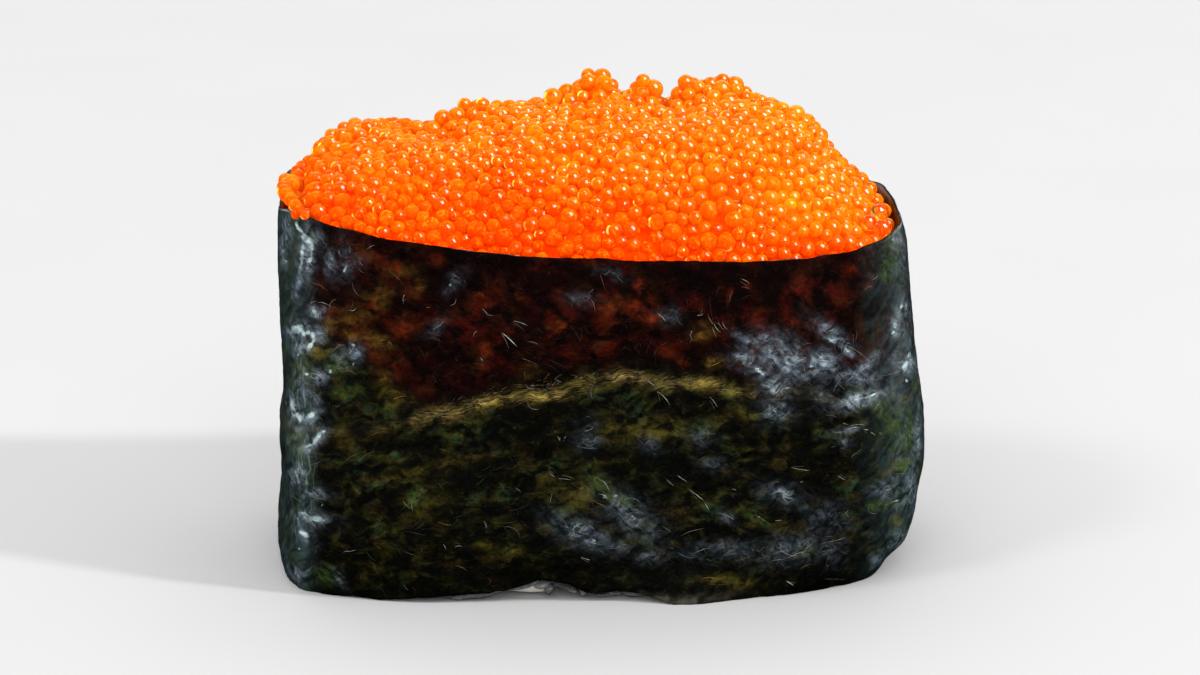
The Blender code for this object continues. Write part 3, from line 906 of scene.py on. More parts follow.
# single fibres in front, in the photograph's pixels: from, to, bend, half thickness
# in millimetres, kind (0 cream, 1 bluish, 2 tan, 3 green, 4 gold)
STROKES = (
    (502, 332, 515, 347, 0.05, 0.042, 0),
    (513, 320, 527, 327, 0.08, 0.026, 1),
    (483, 309, 487, 315, 0.10, 0.018, 0),
    (487, 313, 494, 316, -0.1, 0.018, 1),
    (527, 341, 539, 347, 0.10, 0.022, 2),
    (473, 337, 478, 332, 0.20, 0.020, 0),
    (368, 249, 375, 245, 0.10, 0.026, 1),
    (404, 302, 405, 295, 0.15, 0.022, 0),
    (389, 272, 402, 286, 0.10, 0.014, 2),
    (425, 308, 431, 309, 0.10, 0.018, 4),
    (352, 282, 362, 295, -0.2, 0.018, 2),
    (308, 283, 328, 292, 0.10, 0.026, 3),
    (309, 306, 318, 302, 0.20, 0.020, 0),
    (318, 302, 331, 307, 0.12, 0.022, 0),
    (329, 309, 336, 301, 0.20, 0.024, 2),
    (348, 309, 357, 307, -0.25, 0.022, 0),
    (337, 344, 344, 344, -0.2, 0.026, 2),
    (378, 345, 388, 343, 0.30, 0.022, 4),
    (386, 342, 393, 347, 0.30, 0.020, 4),
    (331, 352, 341, 347, 0.10, 0.022, 2),
    (334, 361, 343, 356, -0.2, 0.020, 0),
    (345, 371, 356, 377, 0.20, 0.018, 2),
    (431, 330, 441, 321, -0.15, 0.024, 1),
    (434, 333, 439, 325, 0.15, 0.018, 0),
    (450, 304, 456, 297, -0.25, 0.020, 0),
    (481, 359, 482, 362, 0.0, 0.030, 1),
    (657, 315, 664, 321, 0.10, 0.026, 0),
    (697, 315, 702, 313, -0.2, 0.022, 0),
    (710, 319, 715, 325, -0.1, 0.020, 0),
    (715, 323, 721, 331, -0.1, 0.026, 0),
    (718, 321, 726, 329, -0.15, 0.020, 2),
    (712, 328, 717, 337, -0.05, 0.024, 2),
    (723, 322, 729, 330, -0.2, 0.018, 0),
    (690, 339, 693, 331, 0.15, 0.020, 0),
    (706, 366, 720, 361, -0.15, 0.024, 4),
    (741, 280, 749, 284, 0.10, 0.022, 0),
    (742, 287, 750, 290, 0.05, 0.018, 4),
    (730, 302, 734, 292, 0.10, 0.020, 2),
    (642, 379, 655, 391, 0.25, 0.020, 1),
    (646, 377, 654, 384, -0.2, 0.016, 0),
    (657, 391, 668, 404, 0.10, 0.026, 0),
    (711, 396, 717, 407, 0.05, 0.024, 0),
    (593, 386, 594, 399, -0.2, 0.020, 1),
    (721, 389, 732, 393, 0.05, 0.020, 1),
    (733, 394, 742, 394, 0.10, 0.024, 2),
    (794, 344, 810, 359, 0.04, 0.022, 2),
    (805, 365, 807, 380, -0.05, 0.024, 2),
    (848, 347, 864, 356, 0.04, 0.028, 0),
    (853, 333, 855, 344, -0.1, 0.020, 3),
    (857, 331, 855, 342, 0.10, 0.016, 3),
    (857, 371, 869, 360, -0.10, 0.030, 1),
    (860, 371, 879, 357, 0.06, 0.022, 1),
    (838, 383, 870, 384, -0.20, 0.022, 1),
    (833, 392, 842, 378, 0.05, 0.020, 1),
    (842, 374, 868, 378, 0.10, 0.016, 1),
    (837, 398, 852, 410, 0.05, 0.022, 1),
    (852, 396, 860, 406, -0.1, 0.024, 0),
    (860, 396, 868, 404, -0.1, 0.022, 1),
    (868, 404, 882, 392, 0.06, 0.026, 0),
    (874, 410, 880, 403, 0.10, 0.024, 0),
    (884, 398, 906, 381, 0.06, 0.030, 3),
    (886, 376, 903, 373, 0.06, 0.022, 0),
    (871, 281, 878, 274, -0.1, 0.024, 2),
    (862, 291, 874, 286, 0.10, 0.020, 2),
    (833, 433, 846, 431, -0.1, 0.018, 1),
    (846, 431, 858, 427, 0.06, 0.026, 0),
    (863, 428, 869, 430, 0.0, 0.032, 0),
    (870, 432, 876, 435, 0.0, 0.024, 0),
    (850, 459, 856, 452, 0.05, 0.018, 3),
    (855, 455, 862, 449, 0.05, 0.022, 3),
    (791, 467, 808, 471, -0.05, 0.024, 0),
    (800, 481, 803, 483, 0.0, 0.026, 0),
    (838, 477, 844, 479, 0.0, 0.024, 0),
    (843, 424, 847, 424, 0.0, 0.028, 2),
    (826, 416, 836, 420, 0.15, 0.018, 2),
    (848, 428, 865, 427, 0.10, 0.018, 0),
    (751, 513, 770, 525, 0.05, 0.024, 3),
    (757, 517, 764, 521, 0.0, 0.026, 0),
    (775, 521, 782, 520, 0.0, 0.020, 0),
    (828, 543, 845, 538, -0.06, 0.020, 0),
    (787, 580, 794, 586, 0.0, 0.036, 0),
    (766, 556, 790, 552, 0.10, 0.018, 1),
    (780, 549, 797, 555, -0.1, 0.020, 0),
    (788, 558, 806, 552, 0.10, 0.022, 0),
    (794, 545, 808, 550, 0.10, 0.018, 3),
    (800, 556, 812, 545, 0.05, 0.022, 0),
    (772, 561, 786, 558, 0.0, 0.018, 1),
    (824, 578, 846, 579, -0.05, 0.016, 1),
    (800, 569, 811, 564, 0.10, 0.018, 3),
    (891, 466, 912, 457, 0.05, 0.024, 3),
    (895, 474, 910, 471, -0.1, 0.022, 4),
    (869, 507, 880, 510, -0.3, 0.022, 3),
    (892, 503, 900, 501, 0.0, 0.026, 0),
    (556, 436, 560, 441, 0.10, 0.024, 0),
    (563, 439, 565, 437, 0.0, 0.024, 0),
    (578, 446, 596, 449, 0.05, 0.016, 1),
    (582, 440, 594, 446, -0.1, 0.014, 1),
    (597, 477, 608, 492, 0.05, 0.022, 0),
    (600, 494, 606, 500, 0.1, 0.026, 0),
    (612, 494, 620, 498, -0.1, 0.022, 1),
    (616, 500, 646, 504, -0.1, 0.018, 3),
    (627, 499, 640, 503, 0.20, 0.014, 0),
    (561, 475, 574, 480, 0.05, 0.018, 3),
    (590, 500, 602, 510, 0.20, 0.022, 4),
    (620, 522, 636, 537, 0.05, 0.020, 3),
    (581, 556, 590, 561, 0.0, 0.028, 0),
    (583, 538, 603, 545, 0.03, 0.022, 1),
    (572, 531, 590, 536, 0.05, 0.016, 1),
    (679, 476, 687, 481, 0.0, 0.022, 0),
    (667, 481, 674, 486, 0.0, 0.024, 1),
    (690, 490, 702, 499, 0.03, 0.028, 0),
    (704, 504, 710, 510, 0.0, 0.026, 1),
    (721, 513, 733, 519, 0.05, 0.024, 1),
    (681, 536, 704, 530, 0.10, 0.018, 0),
    (678, 552, 696, 556, -0.15, 0.014, 1),
    (694, 555, 710, 549, 0.10, 0.016, 0),
    (732, 490, 737, 492, 0.30, 0.022, 0),
    (701, 577, 722, 580, 0.05, 0.022, 4),
    (706, 583, 740, 580, -0.06, 0.016, 3),
    (731, 564, 753, 558, 0.06, 0.020, 4),
    (551, 473, 554, 478, 0.0, 0.022, 0),
    (551, 502, 553, 494, 0.0, 0.026, 3),
    (295, 476, 328, 460, 0.04, 0.020, 1),
    (292, 496, 304, 503, 0.0, 0.022, 0),
    (313, 500, 328, 501, 0.12, 0.024, 3),
    (305, 492, 326, 495, -0.15, 0.018, 1),
    (343, 551, 355, 548, -0.08, 0.022, 1),
    (358, 462, 373, 452, 0.05, 0.018, 2),
    (340, 466, 362, 452, 0.05, 0.016, 4),
    (398, 512, 432, 489, 0.04, 0.020, 3),
    (401, 498, 412, 510, -0.1, 0.020, 3),
    (405, 506, 420, 500, 0.10, 0.022, 3),
    (410, 500, 413, 512, 0.0, 0.018, 0),
    (436, 521, 450, 525, -0.1, 0.018, 2),
    (505, 526, 518, 540, 0.25, 0.020, 1),
    (483, 521, 485, 527, 0.1, 0.024, 1),
    (444, 545, 446, 551, 0.1, 0.020, 0),
    (455, 548, 461, 546, 0.1, 0.022, 1),
    (403, 552, 415, 556, 0.0, 0.014, 2),
    (455, 567, 466, 572, 0.15, 0.016, 2),
    (528, 402, 541, 408, -0.3, 0.018, 1),
    (583, 431, 592, 426, -0.1, 0.018, 1),
)


def seaweed_fibres(outer, n, s, t, material):
    """Fine fibres that lie on the sheet, half sunk in it."""
    rng = np.random.default_rng(5)
    steps, sides = 6, 3
    verts, faces, tones = [], [], []
    rows, columns = outer.shape[:2]

    def at(u, v):
        cu = np.clip(np.interp(u, s, np.arange(columns)), 0, columns - 1.001)
        cv = np.clip(v * (rows - 1), 0, rows - 1.001)
        i, j = np.floor(cu).astype(int), np.floor(cv).astype(int)
        fu, fv = (cu - i)[:, None], (cv - j)[:, None]

        def mixed(a):
            return (
                a[j, i] * (1 - fu) * (1 - fv)
                + a[j, i + 1] * fu * (1 - fv)
                + a[j + 1, i] * (1 - fu) * fv
                + a[j + 1, i + 1] * fu * fv
            )

        return mixed(outer), mixed(n)

    def lay(u, v, length, heading, bend, wide, tone):
        us, vs = [u], [v]
        for m in range(steps - 1):
            us.append(us[-1] + np.cos(heading) * length / (steps - 1))
            vs.append(vs[-1] + np.sin(heading) * length / (steps - 1) / 28.0)
            heading += bend / (steps - 1)
        us, vs = np.array(us), np.array(vs)
        if us.min() < 0.3 or us.max() > ONCE + LAP - 0.3 or vs.min() < 0.01 or vs.max() > 0.985:
            return
        centre, up = at(us, vs)
        along = np.gradient(centre, axis=0)
        along /= np.linalg.norm(along, axis=1, keepdims=True)
        side = np.cross(up, along)
        taper = np.sin(np.linspace(0.12, np.pi - 0.12, steps))[:, None] ** 0.6
        start = sum(len(a) for a in verts)
        ring = []
        for a in range(sides):
            c, d = math.cos(TURN * a / sides), math.sin(TURN * a / sides)
            ring.append(centre + side * c * wide * taper + up * (d * wide * 0.8 * taper + wide * 0.3))
        ring = np.stack(ring, 1).reshape(-1, 3)
        verts.append(ring)
        i = np.arange(steps - 1)[:, None] * sides
        a = np.arange(sides)[None]
        quads = np.stack([i + a, i + (a + 1) % sides, i + sides + (a + 1) % sides, i + sides + a], -1)
        faces.append(quads.reshape(-1, 4) + start)
        faces.append(np.array([[2, 1, 0]]) + start)
        faces.append(np.array([[0, 1, 2]]) + start + (steps - 1) * sides)
        tones.append(np.repeat(np.asarray(tone)[None], len(ring), 0))

    across, down = seen(outer)
    hidden = 1e6 * (n @ np.array(direction(AZIMUTH, ELEVATION)) < 0.03)

    def find(px, py):
        away = (across - px) ** 2 + (down - py) ** 2 + hidden
        row, column = np.unravel_index(np.argmin(away), away.shape)
        return s[column], t[row] * 28.0

    # short ones along the crease, and fine ones across the wet patches
    short = []
    for k in range(150):
        x0 = rng.uniform(425, 690)
        y0 = np.interp(x0, (425, 470, 520, 560, 600, 650, 690), (413, 401, 390, 382, 377, 379, 386)) + rng.normal(0, 3.2)
        way, far = rng.normal(-0.30, 0.45), rng.uniform(3, 9)
        short.append((x0, y0, x0 + far * math.cos(way), y0 + far * math.sin(way), rng.normal(0, 0.12), rng.uniform(0.008, 0.014), (0, 2, 4)[k % 3]))
    for px, py, long, wide, tilt, amount in SHEEN_PATCHES:
        for k in range(2 + int(long * wide / 26)):
            a, b = rng.normal(0, 0.55) * long, rng.normal(0, 0.55) * wide
            c, d = math.cos(math.radians(tilt)), math.sin(math.radians(tilt))
            x0, y0 = px + a * c - b * d, py - a * d - b * c
            way, far = rng.choice((0.75, -0.55, -0.1)) + rng.normal(0, 0.3), rng.uniform(3, 10)
            short.append((x0, y0, x0 + far * math.cos(way), y0 + far * math.sin(way), rng.normal(0, 0.14), rng.uniform(0.007, 0.012), int(rng.random() < 0.6)))
    pales = np.array([(0.40, 0.39, 0.31), (0.27, 0.31, 0.35), (0.27, 0.17, 0.09), (0.17, 0.21, 0.08), (0.25, 0.17, 0.02)])
    for x0, y0, x1, y1, bend, wide, kind in STROKES + tuple(short):
        (u0, v0), (u1, v1) = find(x0, y0), find(x1, y1)
        if abs(u1 - u0) > 6:
            continue
        length, heading = math.hypot(u1 - u0, v1 - v0), math.atan2(v1 - v0, u1 - u0)
        turn = 6 * bend  # the change of heading of an arc with about this sagitta
        tone = pales[kind] * min(0.85, 0.26 + wide * 18) * (1.0 if length < 1.7 else 0.55)
        wide = wide * 0.88
        lay(u0, v0 / 28.0, length * 1.05, heading + turn / 2, -turn, wide, tone)
        if wide > 0.0185:
            twist = rng.normal(0, 0.12)
            lay(u0 + rng.normal(0, 0.10), v0 / 28.0 + rng.normal(0, 0.006), length * rng.uniform(0.6, 1.1), heading + twist, -turn, wide * 0.45, tone * 0.4)
    kinds = np.array([(0.060, 0.062, 0.026), (0.045, 0.052, 0.030), (0.070, 0.050, 0.018), (0.055, 0.062, 0.058)])
    for k in range(FIBRES):
        if k % 9 == 0:
            hub_u, hub_v, hub_way = rng.uniform(0.5, ONCE + LAP - 0.5), rng.uniform(0.03, 0.97), rng.normal(-0.5, 0.5)
            if rng.random() < 0.35:
                hub_way = rng.normal(0.6, 0.3)
        u, v = hub_u + rng.normal(0, 1.6), hub_v + rng.normal(0, 0.05)
        heading = hub_way + rng.normal(0, 0.35)
        length = min(rng.gamma(2.2, 0.28) + 0.25, 2.4)
        wide = rng.uniform(0.008, 0.017)
        tone = kinds[rng.integers(4)] * rng.uniform(0.1, 0.7)
        if rng.random() < 0.05:
            tone, wide = np.array((0.22, 0.23, 0.20)), wide * 1.2
        at_x, at_z = np.interp(u, s, outer[rows // 2, :, 0]), v * 28.0
        if at_z > through(CREASE_AT, CREASE_HEIGHT, at_x) + 1:
            tone = tone * np.array([1.0, 0.5, 0.5])
        lay(u, v, length, heading, rng.normal(0, 0.8), wide, tone)
    obj = mesh_object("nori_fibres", np.concatenate(verts), faces, material)
    paint(obj, "tone", np.concatenate(tones))
    return obj


# ---- eggs -------------------------------------------------------------------------
def pairs_near(p, reach):
    """Index pairs closer than reach."""
    found = []
    block = 600
    for a in range(0, len(p), block):
        q = p[a : a + block]
        d2 = ((q[:, None, :] - p[None, :, :]) ** 2).sum(-1)
        i, j = np.nonzero(d2 < reach * reach)
        keep = i + a < j
        found.append(np.stack([i[keep] + a, j[keep]], 1))
    return np.concatenate(found)


def surface_slope(x, y):
    h = 0.15
    return (
        (heap_top(x + h, y) - heap_top(x - h, y)) / (2 * h),
        (heap_top(x, y + h) - heap_top(x, y - h)) / (2 * h),
    )


def pack_eggs():
    """Eggs packed in a shell under the heap's outline, pressed outwards as they settle."""
    rng = np.random.default_rng(11)
    inset = SHEET_THICK + SHEET_BACK
    gx, gy = np.meshgrid(np.linspace(-24.6, 24.2, 245), np.linspace(-13.8, 13.8, 139))
    gap, _, _ = wall_gap(gx, gy, 1.0, inset)
    top = heap_top(gx, gy)
    sy, sx = np.gradient(top, gy[1, 0] - gy[0, 0], gx[0, 1] - gx[0, 0])
    weight = np.where(gap > 0.2, np.sqrt(1 + np.clip(sx**2 + sy**2, 0, 9)), 0)
    area = weight.sum() * (gx[0, 1] - gx[0, 0]) * (gy[1, 0] - gy[0, 0])
    mean_volume = 4 / 3 * np.pi * EGG_RADIUS**3 * 1.03
    count = int(area * EGG_SHELL * 0.635 / mean_volume)
    pick = rng.choice(weight.size, count, p=(weight / weight.sum()).ravel())
    x = gx.ravel()[pick] + rng.uniform(-0.1, 0.1, count)
    y = gy.ravel()[pick] + rng.uniform(-0.1, 0.1, count)
    radius = np.clip(rng.normal(EGG_RADIUS, 0.075, count), 0.40, 0.74)
    depth = rng.uniform(0.4, EGG_SHELL, count)
    proud = rng.gamma(1.3, 0.12, count)  # how far under the outline this egg's top may stay
    proud += 0.25 * eased(noise(np.stack([x, y, 0 * x], -1), 2.3, 4), 0.0, 0.8)
    proud = proud * (1 - 0.6 * np.exp(-(((y - 1.0) / 2.6) ** 2))) - 0.08
    fx, fy = surface_slope(x, y)
    norm = np.sqrt(1 + fx**2 + fy**2)
    z = heap_top(x, y) - depth * norm
    p = np.stack([x, y, z], 1)
    for step in range(90):
        if step % 6 == 0:
            near = pairs_near(p, 1.75)
        i, j = near[:, 0], near[:, 1]
        for _ in range(2):
            d = p[i] - p[j]
            dist = np.sqrt((d**2).sum(1)) + 1e-9
            want = (radius[i] + radius[j]) * 0.95
            over = np.clip(want - dist, 0, None)
            push = d / dist[:, None] * (over * 0.42)[:, None]
            np.add.at(p, i, push)
            np.add.at(p, j, -push)
        x, y = p[:, 0], p[:, 1]
        fx, fy = surface_slope(x, y)
        norm = np.sqrt(1 + fx**2 + fy**2)
        normal = np.stack([-fx, -fy, np.ones_like(fx)], 1) / norm[:, None]
        inside = (heap_top(x, y) - p[:, 2]) / norm  # depth under the outline
        press = 0.05 if step < 70 else 0.015
        inside_want = radius + proud
        move = np.where(inside < inside_want, inside - inside_want, press)
        move = np.clip(move, -0.5, 0.5)
        deep = inside > EGG_SHELL + 0.2
        move = np.where(deep, np.minimum(inside - EGG_SHELL, 0.4), move)
        p += normal * move[:, None]
        share = share_at(p[:, 0], p[:, 2])
        gap, wx, wy = wall_gap(p[:, 0], p[:, 1], share, inset)
        above = p[:, 2] > rim_height(p[:, 0]) + 0.1
        over = above & (p[:, 0] < -20) & (p[:, 2] > rim_height(p[:, 0]) + 0.3)
        need = np.where(over, -0.3, np.where(above, 0.35, radius))
        back = np.clip(need - gap, 0, 0.6)
        p[:, 0] += wx * back
        p[:, 1] += wy * back
    fx, fy = surface_slope(p[:, 0], p[:, 1])
    inside = (heap_top(p[:, 0], p[:, 1]) - p[:, 2]) / np.sqrt(1 + fx**2 + fy**2)
    return p, radius, inside


def join_eggs(name, p, radius, tone, level, seed, material):
    """One piece of many eggs: each a slightly uneven ball with a turn of its own."""
    rng = np.random.default_rng(seed)
    verts, faces = sphere(level)
    count = len(p)
    squash = 1 + rng.normal(0, 0.035, (count, 1, 3))
    turn = turns(rng, count)
    ball = verts[None] * squash
    ball = np.einsum("nij,nkj->nki", turn, ball)
    points = p[:, None] + ball * radius[:, None, None]
    index = faces[None] + (np.arange(count) * len(verts))[:, None, None]
    obj = mesh_object(name, points.reshape(-1, 3), [index.reshape(-1, 3)], material)
    paint(obj, "tone", np.repeat(tone, len(verts), 0))
    gloss = rng.random((count, 3))
    lively = eased(p[:, 2] - rim_height(p[:, 0]), 1.0, 7.0) + eased(p[:, 0], 2.0, 16.0)
    gloss[:, 0] = np.clip(gloss[:, 0] + 0.52 * np.clip(lively, 0, 1) - 0.07, 0, 1)
    paint(obj, "gloss", np.repeat(gloss, len(verts), 0))
    # where on each egg the painted crescent of gathered light sits: low on the left
    turn = np.radians(rng.normal(212, 34, count))
    tilt = np.radians(rng.normal(57, 4, count))
    right, up, near = np.array([1.0, 0, 0]), np.array([0, 0.29, 0.957]), np.array([0, -0.957, 0.29])
    flat = np.cos(turn)[:, None] * right + np.sin(turn)[:, None] * up
    glow = np.sin(tilt)[:, None] * flat + np.cos(tilt)[:, None] * near
    paint(obj, "glow", np.repeat(glow, len(verts), 0))
    return obj


def egg_tones(p, rng):
    """Colours of light gone once through an egg, with painted light and shade: deeper low in front, where the heap
    lies in shade, and more golden high up and to the right, where the light falls."""
    high = eased(p[:, 2] - rim_height(p[:, 0]), 0.3, 8.0)
    drift = noise(p, 6.0, 81) * 0.6 + noise(p, 2.4, 82) * 0.4
    front = eased(-p[:, 1], 3.0, 12.0) * (1 - high)
    # painted light and shade: more golden high up and to the right, deeper low in front
    gold = 0.38 + 0.51 * high + 0.23 * eased(p[:, 0], 4.0, 20.0) - 0.36 * front
    across, down = seen(p)
    near = eased(-p[:, 1], -4.0, 0.0)
    gold = gold + (streaks(EGGS_GOLDEN, across, down) - streaks(EGGS_DEEP, across, down)) * near
    gold = np.clip(gold + 0.20 * drift + rng.normal(0, 0.12, len(p)), 0, 1.5)
    deep = np.array([0.74, 0.045, 0.0004])
    mid = np.array([0.74, 0.104, 0.0010])
    light = np.array([0.74, 0.258, 0.0045])
    low = eased(gold, 0.0, 0.5)[:, None]
    top = eased(gold, 0.5, 1.0)[:, None]
    colour = deep * (1 - low) + mid * (low - top) + light * top
    colour = colour + (np.array([0.78, 0.43, 0.007]) - colour) * eased(gold, 0.95, 1.45)[:, None]
    # which eggs get a painted crescent of gathered light, and how strong
    gather = np.where(rng.random(len(p)) < 0.26, rng.uniform(0.45, 1.0, len(p)), 0.0)
    return np.concatenate([colour, gather[:, None]], 1)


# where the eggs look more golden, and deeper: the same sort of patches
EGGS_GOLDEN = (
    (312, 146, 40, 26, 30, 0.52),
    (290, 182, 24, 22, 0, 0.55),
    (380, 175, 40, 26, -5, 0.14),
    (800, 212, 66, 30, -4, 0.72),
    (640, 165, 40, 14, 0, 0.12),
    (430, 222, 66, 20, -8, 0.20),
    (700, 158, 44, 16, 0, 0.16),
    (566, 214, 22, 18, 0, 0.14),
    (690, 236, 24, 12, 0, 0.16),
)
EGGS_DEEP = (
    (612, 150, 46, 22, 0, 0.12),
    (764, 122, 46, 18, 0, 0.10),
    (508, 182, 34, 44, -20, 0.32),
    (505, 138, 34, 16, 0, 0.14),
    (530, 234, 26, 12, 0, 0.12),
    (750, 238, 8, 8, 0, 0.10),
)


def roe(materials):
    p, radius, inside = pack_eggs()
    rng = np.random.default_rng(3)
    tone = egg_tones(p, rng)
    outer = inside < radius + 0.75
    # single eggs, listed one by one: over the rim at the left, against the wall at the right
    extra = np.array(EXTRA_EGGS)
    ep, er = extra[:, :3], extra[:, 3]
    far = np.ones(len(p), bool)
    for q, r in zip(ep, er):
        far &= np.linalg.norm(p - q, axis=1) > (radius + r) * 0.86
    outer &= far
    deep = (~outer) & far & (inside < EGG_SHELL + 0.35)
    p1 = np.concatenate([p[outer], ep])
    free = eased(p[outer][:, 2] - rim_height(p[outer][:, 0]), 0.2, 0.8)
    r1 = np.concatenate([radius[outer] * (1 + 0.08 * free), er])
    t1 = np.concatenate([tone[outer], egg_tones(ep, rng)])
    # a few are glassy: the listed ones at the right
    glassy = np.zeros(len(p1), bool)
    glassy[len(p1) - len(ep):] = ep[:, 0] > 0
    order = np.argsort(t1[:, 1])
    order = order[~glassy[order]]
    groups = np.array_split(order, 3)
    made = [join_eggs("roe_clear", p1[glassy], r1[glassy], t1[glassy], 3, 50, clear_egg_material())]
    for k, g in enumerate(groups):
        name = ("roe_deep", "roe_mid", "roe_golden")[k]
        made.append(join_eggs(name, p1[g], r1[g], t1[g], 3, 30 + k, materials[k]))
    made.append(join_eggs("roe_under", p[deep], radius[deep], tone[deep], 2, 40, materials[3]))
    print("eggs", len(p1), "under", int(deep.sum()), "faces", [len(m.data.polygons) for m in made])
    return made


# x, y, z, radius of single eggs
EXTRA_EGGS = (
    (-23.25, -9.35, 30.6, 0.50),
    (-22.9, -9.95, 30.3, 0.47),
    (-23.2, -9.75, 30.0, 0.36),
    (-22.5, -10.35, 30.1, 0.34),
    (-23.6, -8.3, 30.8, 0.54),
    (-23.95, -7.0, 30.8, 0.56),
    (-24.15, -5.5, 30.7, 0.55),
    (-24.2, -4.1, 30.6, 0.56),
    (-23.5, -4.9, 30.95, 0.55),
    (-24.2, -2.6, 30.4, 0.55),
    (-23.6, -3.2, 30.85, 0.57),
    (-24.15, -1.1, 30.4, 0.57),
    (21.25, -5.3, 28.45, 0.70),
    (21.35, -6.45, 27.5, 0.71),
    (20.3, -6.9, 28.1, 0.62),
)


def core_relief(x, y, radius=EGG_RADIUS):
    """Height of packed eggs as relief: caps round a jittered lattice."""
    pitch = radius * 1.86
    row = pitch * 0.866
    j0 = np.round(y / row)
    best = np.full(np.shape(x), -radius)
    for dj in (-1, 0, 1):
        j = j0 + dj
        i0 = np.round((x - (j % 2) * pitch / 2) / pitch)
        for di in (-1, 0, 1):
            i = i0 + di
            jx = (hashed((i + 500).astype(int), (j + 500).astype(int), 0 * i.astype(int), 1) - 0.5) * 0.36
            jy = (hashed((i + 500).astype(int), (j + 500).astype(int), 0 * i.astype(int), 2) - 0.5) * 0.36
            jz = (hashed((i + 500).astype(int), (j + 500).astype(int), 0 * i.astype(int), 3) - 0.5) * 0.3
            cx, cy = i * pitch + (j % 2) * pitch / 2 + jx, j * row + jy
            d2 = (x - cx) ** 2 + (y - cy) ** 2
            cap = np.sqrt(np.clip(radius**2 - d2, 0, None)) - radius * 0.3 + jz
            best = np.maximum(best, np.where(d2 < radius**2, cap, -radius * 0.6))
    return np.clip(best, -0.25, None)


def square_to_plan(u, v):
    """Angle and reach on the outline for points of a square."""
    corner = [np.interp(a, DENSE, RUN) for a in LAP_AT + (np.pi / 4 + np.arange(4) * np.pi / 2 - LAP_AT) % TURN]
    reach = np.maximum(np.abs(u), np.abs(v))
    safe = np.maximum(reach, 1e-9)
    side = np.where(u >= np.abs(v), 0, np.where(v >= np.abs(u), 1, np.where(-u >= np.abs(v), 2, 3)))
    step = np.choose(side, [v, -u, -v, u]) / safe
    first = np.array([corner[k - 1] for k in range(4)])[side]
    last = np.array([corner[k] + (ONCE if corner[k] < corner[k - 1] else 0) for k in range(4)])[side]
    return np.interp((first + (last - first) * (step + 1) / 2) % ONCE, RUN, DENSE), reach


def slab(columns, rows, layers, place):
    """A closed block from a divided square: place(angle, reach, part, down) gives points."""
    u, v = np.meshgrid(np.linspace(-1, 1, columns), np.linspace(-1, 1, rows))
    angle, reach = square_to_plan(u, v)
    top = place(angle, reach, "top", 0.0)
    under = place(angle, reach, "under", 1.0)
    n = columns * rows
    faces = [grid_faces(rows, columns), grid_faces(rows, columns, n, flip=True)]
    ring = np.concatenate(
        [
            np.arange(columns - 1),
            np.arange(rows - 1) * columns + columns - 1,
            (rows - 1) * columns + np.arange(columns - 1, 0, -1),
            np.arange(rows - 1, 0, -1) * columns,
        ]
    )
    edge_angle = angle.ravel()[ring]
    verts = [top.reshape(-1, 3), under.reshape(-1, 3)]
    previous, count = ring, len(ring)
    start = 2 * n
    for k in range(1, layers):
        verts.append(place(edge_angle, np.ones(count), "wall", k / layers))
        this = start + np.arange(count)
        faces.append(np.stack([previous, this, np.roll(this, -1), np.roll(previous, -1)], -1))
        previous, start = this, start + count
    this = ring + n
    faces.append(np.stack([previous, this, np.roll(this, -1), np.roll(previous, -1)], -1))
    return np.concatenate(verts), faces


def roe_core(material):
    inset = STRIP_THICK + FIT_GAP + 0.55

    def place(angle, reach, part, down):
        rx, ry = outline(angle, 1.0, inset)
        edge = heap_edge(rx, ry) - CORE_DEPTH
        bed = rice_top(rx, ry) + FIT_GAP
        if part == "top":
            x, y = rx * reach, ry * reach
            fx, fy = surface_slope(x, y)
            z = heap_top(x, y) - CORE_DEPTH * np.sqrt(1 + np.clip(fx**2 + fy**2, 0, 2.0))
            z = z + core_relief(x, y, 0.46) * eased(1 - reach, 0, 0.05)
            z = np.maximum(z, rice_top(x, y) + 1.0)
        elif part == "under":
            x, y = outline(angle, share_at(rx, bed), inset)
            x, y = x * reach, y * reach
            z = rice_top(x, y) + FIT_GAP
        else:
            z = edge + (bed - edge) * down
            x, y = outline(angle, share_at(rx, z), inset)
        return np.stack([x, y, z + 0 * x], -1)

    verts, faces = slab(212, 114, 5, place)
    obj = mesh_object("roe_core", verts, faces, material)
    rng = np.random.default_rng(8)
    tone = egg_tones(verts, rng)
    # painted shade: the depths deeper red and darker than the eggs over them
    paint(obj, "tone", tone * np.array([0.95, 0.36, 0.2, 0.0]))
    return obj


# ---- rice --------------------------------------------------------------------------
def rice_core(material):
    inset = STRIP_THICK + FIT_GAP + 0.25

    def place(angle, reach, part, down):
        x, y = outline(angle, 0.55, inset)
        top = rice_top(x, y) - 0.2
        if part == "top":
            x, y = outline(angle, share_at(x, top), inset)
            x, y = x * reach, y * reach
            z = rice_top(x, y) - 0.2 + 0.25 * noise(np.stack([x, y, 0 * x], -1), 1.6, 2)
        elif part == "under":
            x, y = outline(angle, 0.0, inset + 1.2)
            x, y = x * reach, y * reach
            z = 0.75 + 0.25 * noise(np.stack([x, y, 0 * x], -1), 1.5, 6)
        else:
            z = top + (1.3 - top) * down
            x, y = outline(angle, share_at(x, z), inset + 0.5 * (1 - eased(z, 1.3, 3.5)))
            flat = np.stack([x, y, z + 0 * x], -1)
            bump = 0.12 * noise(flat, 1.7, 9)
            x, y = x * (1 + bump / 14), y * (1 + bump / 14)
        return np.stack([x, y, z + 0 * x], -1)

    verts, faces = slab(84, 48, 16, place)
    return mesh_object("rice_core", verts, faces, material)


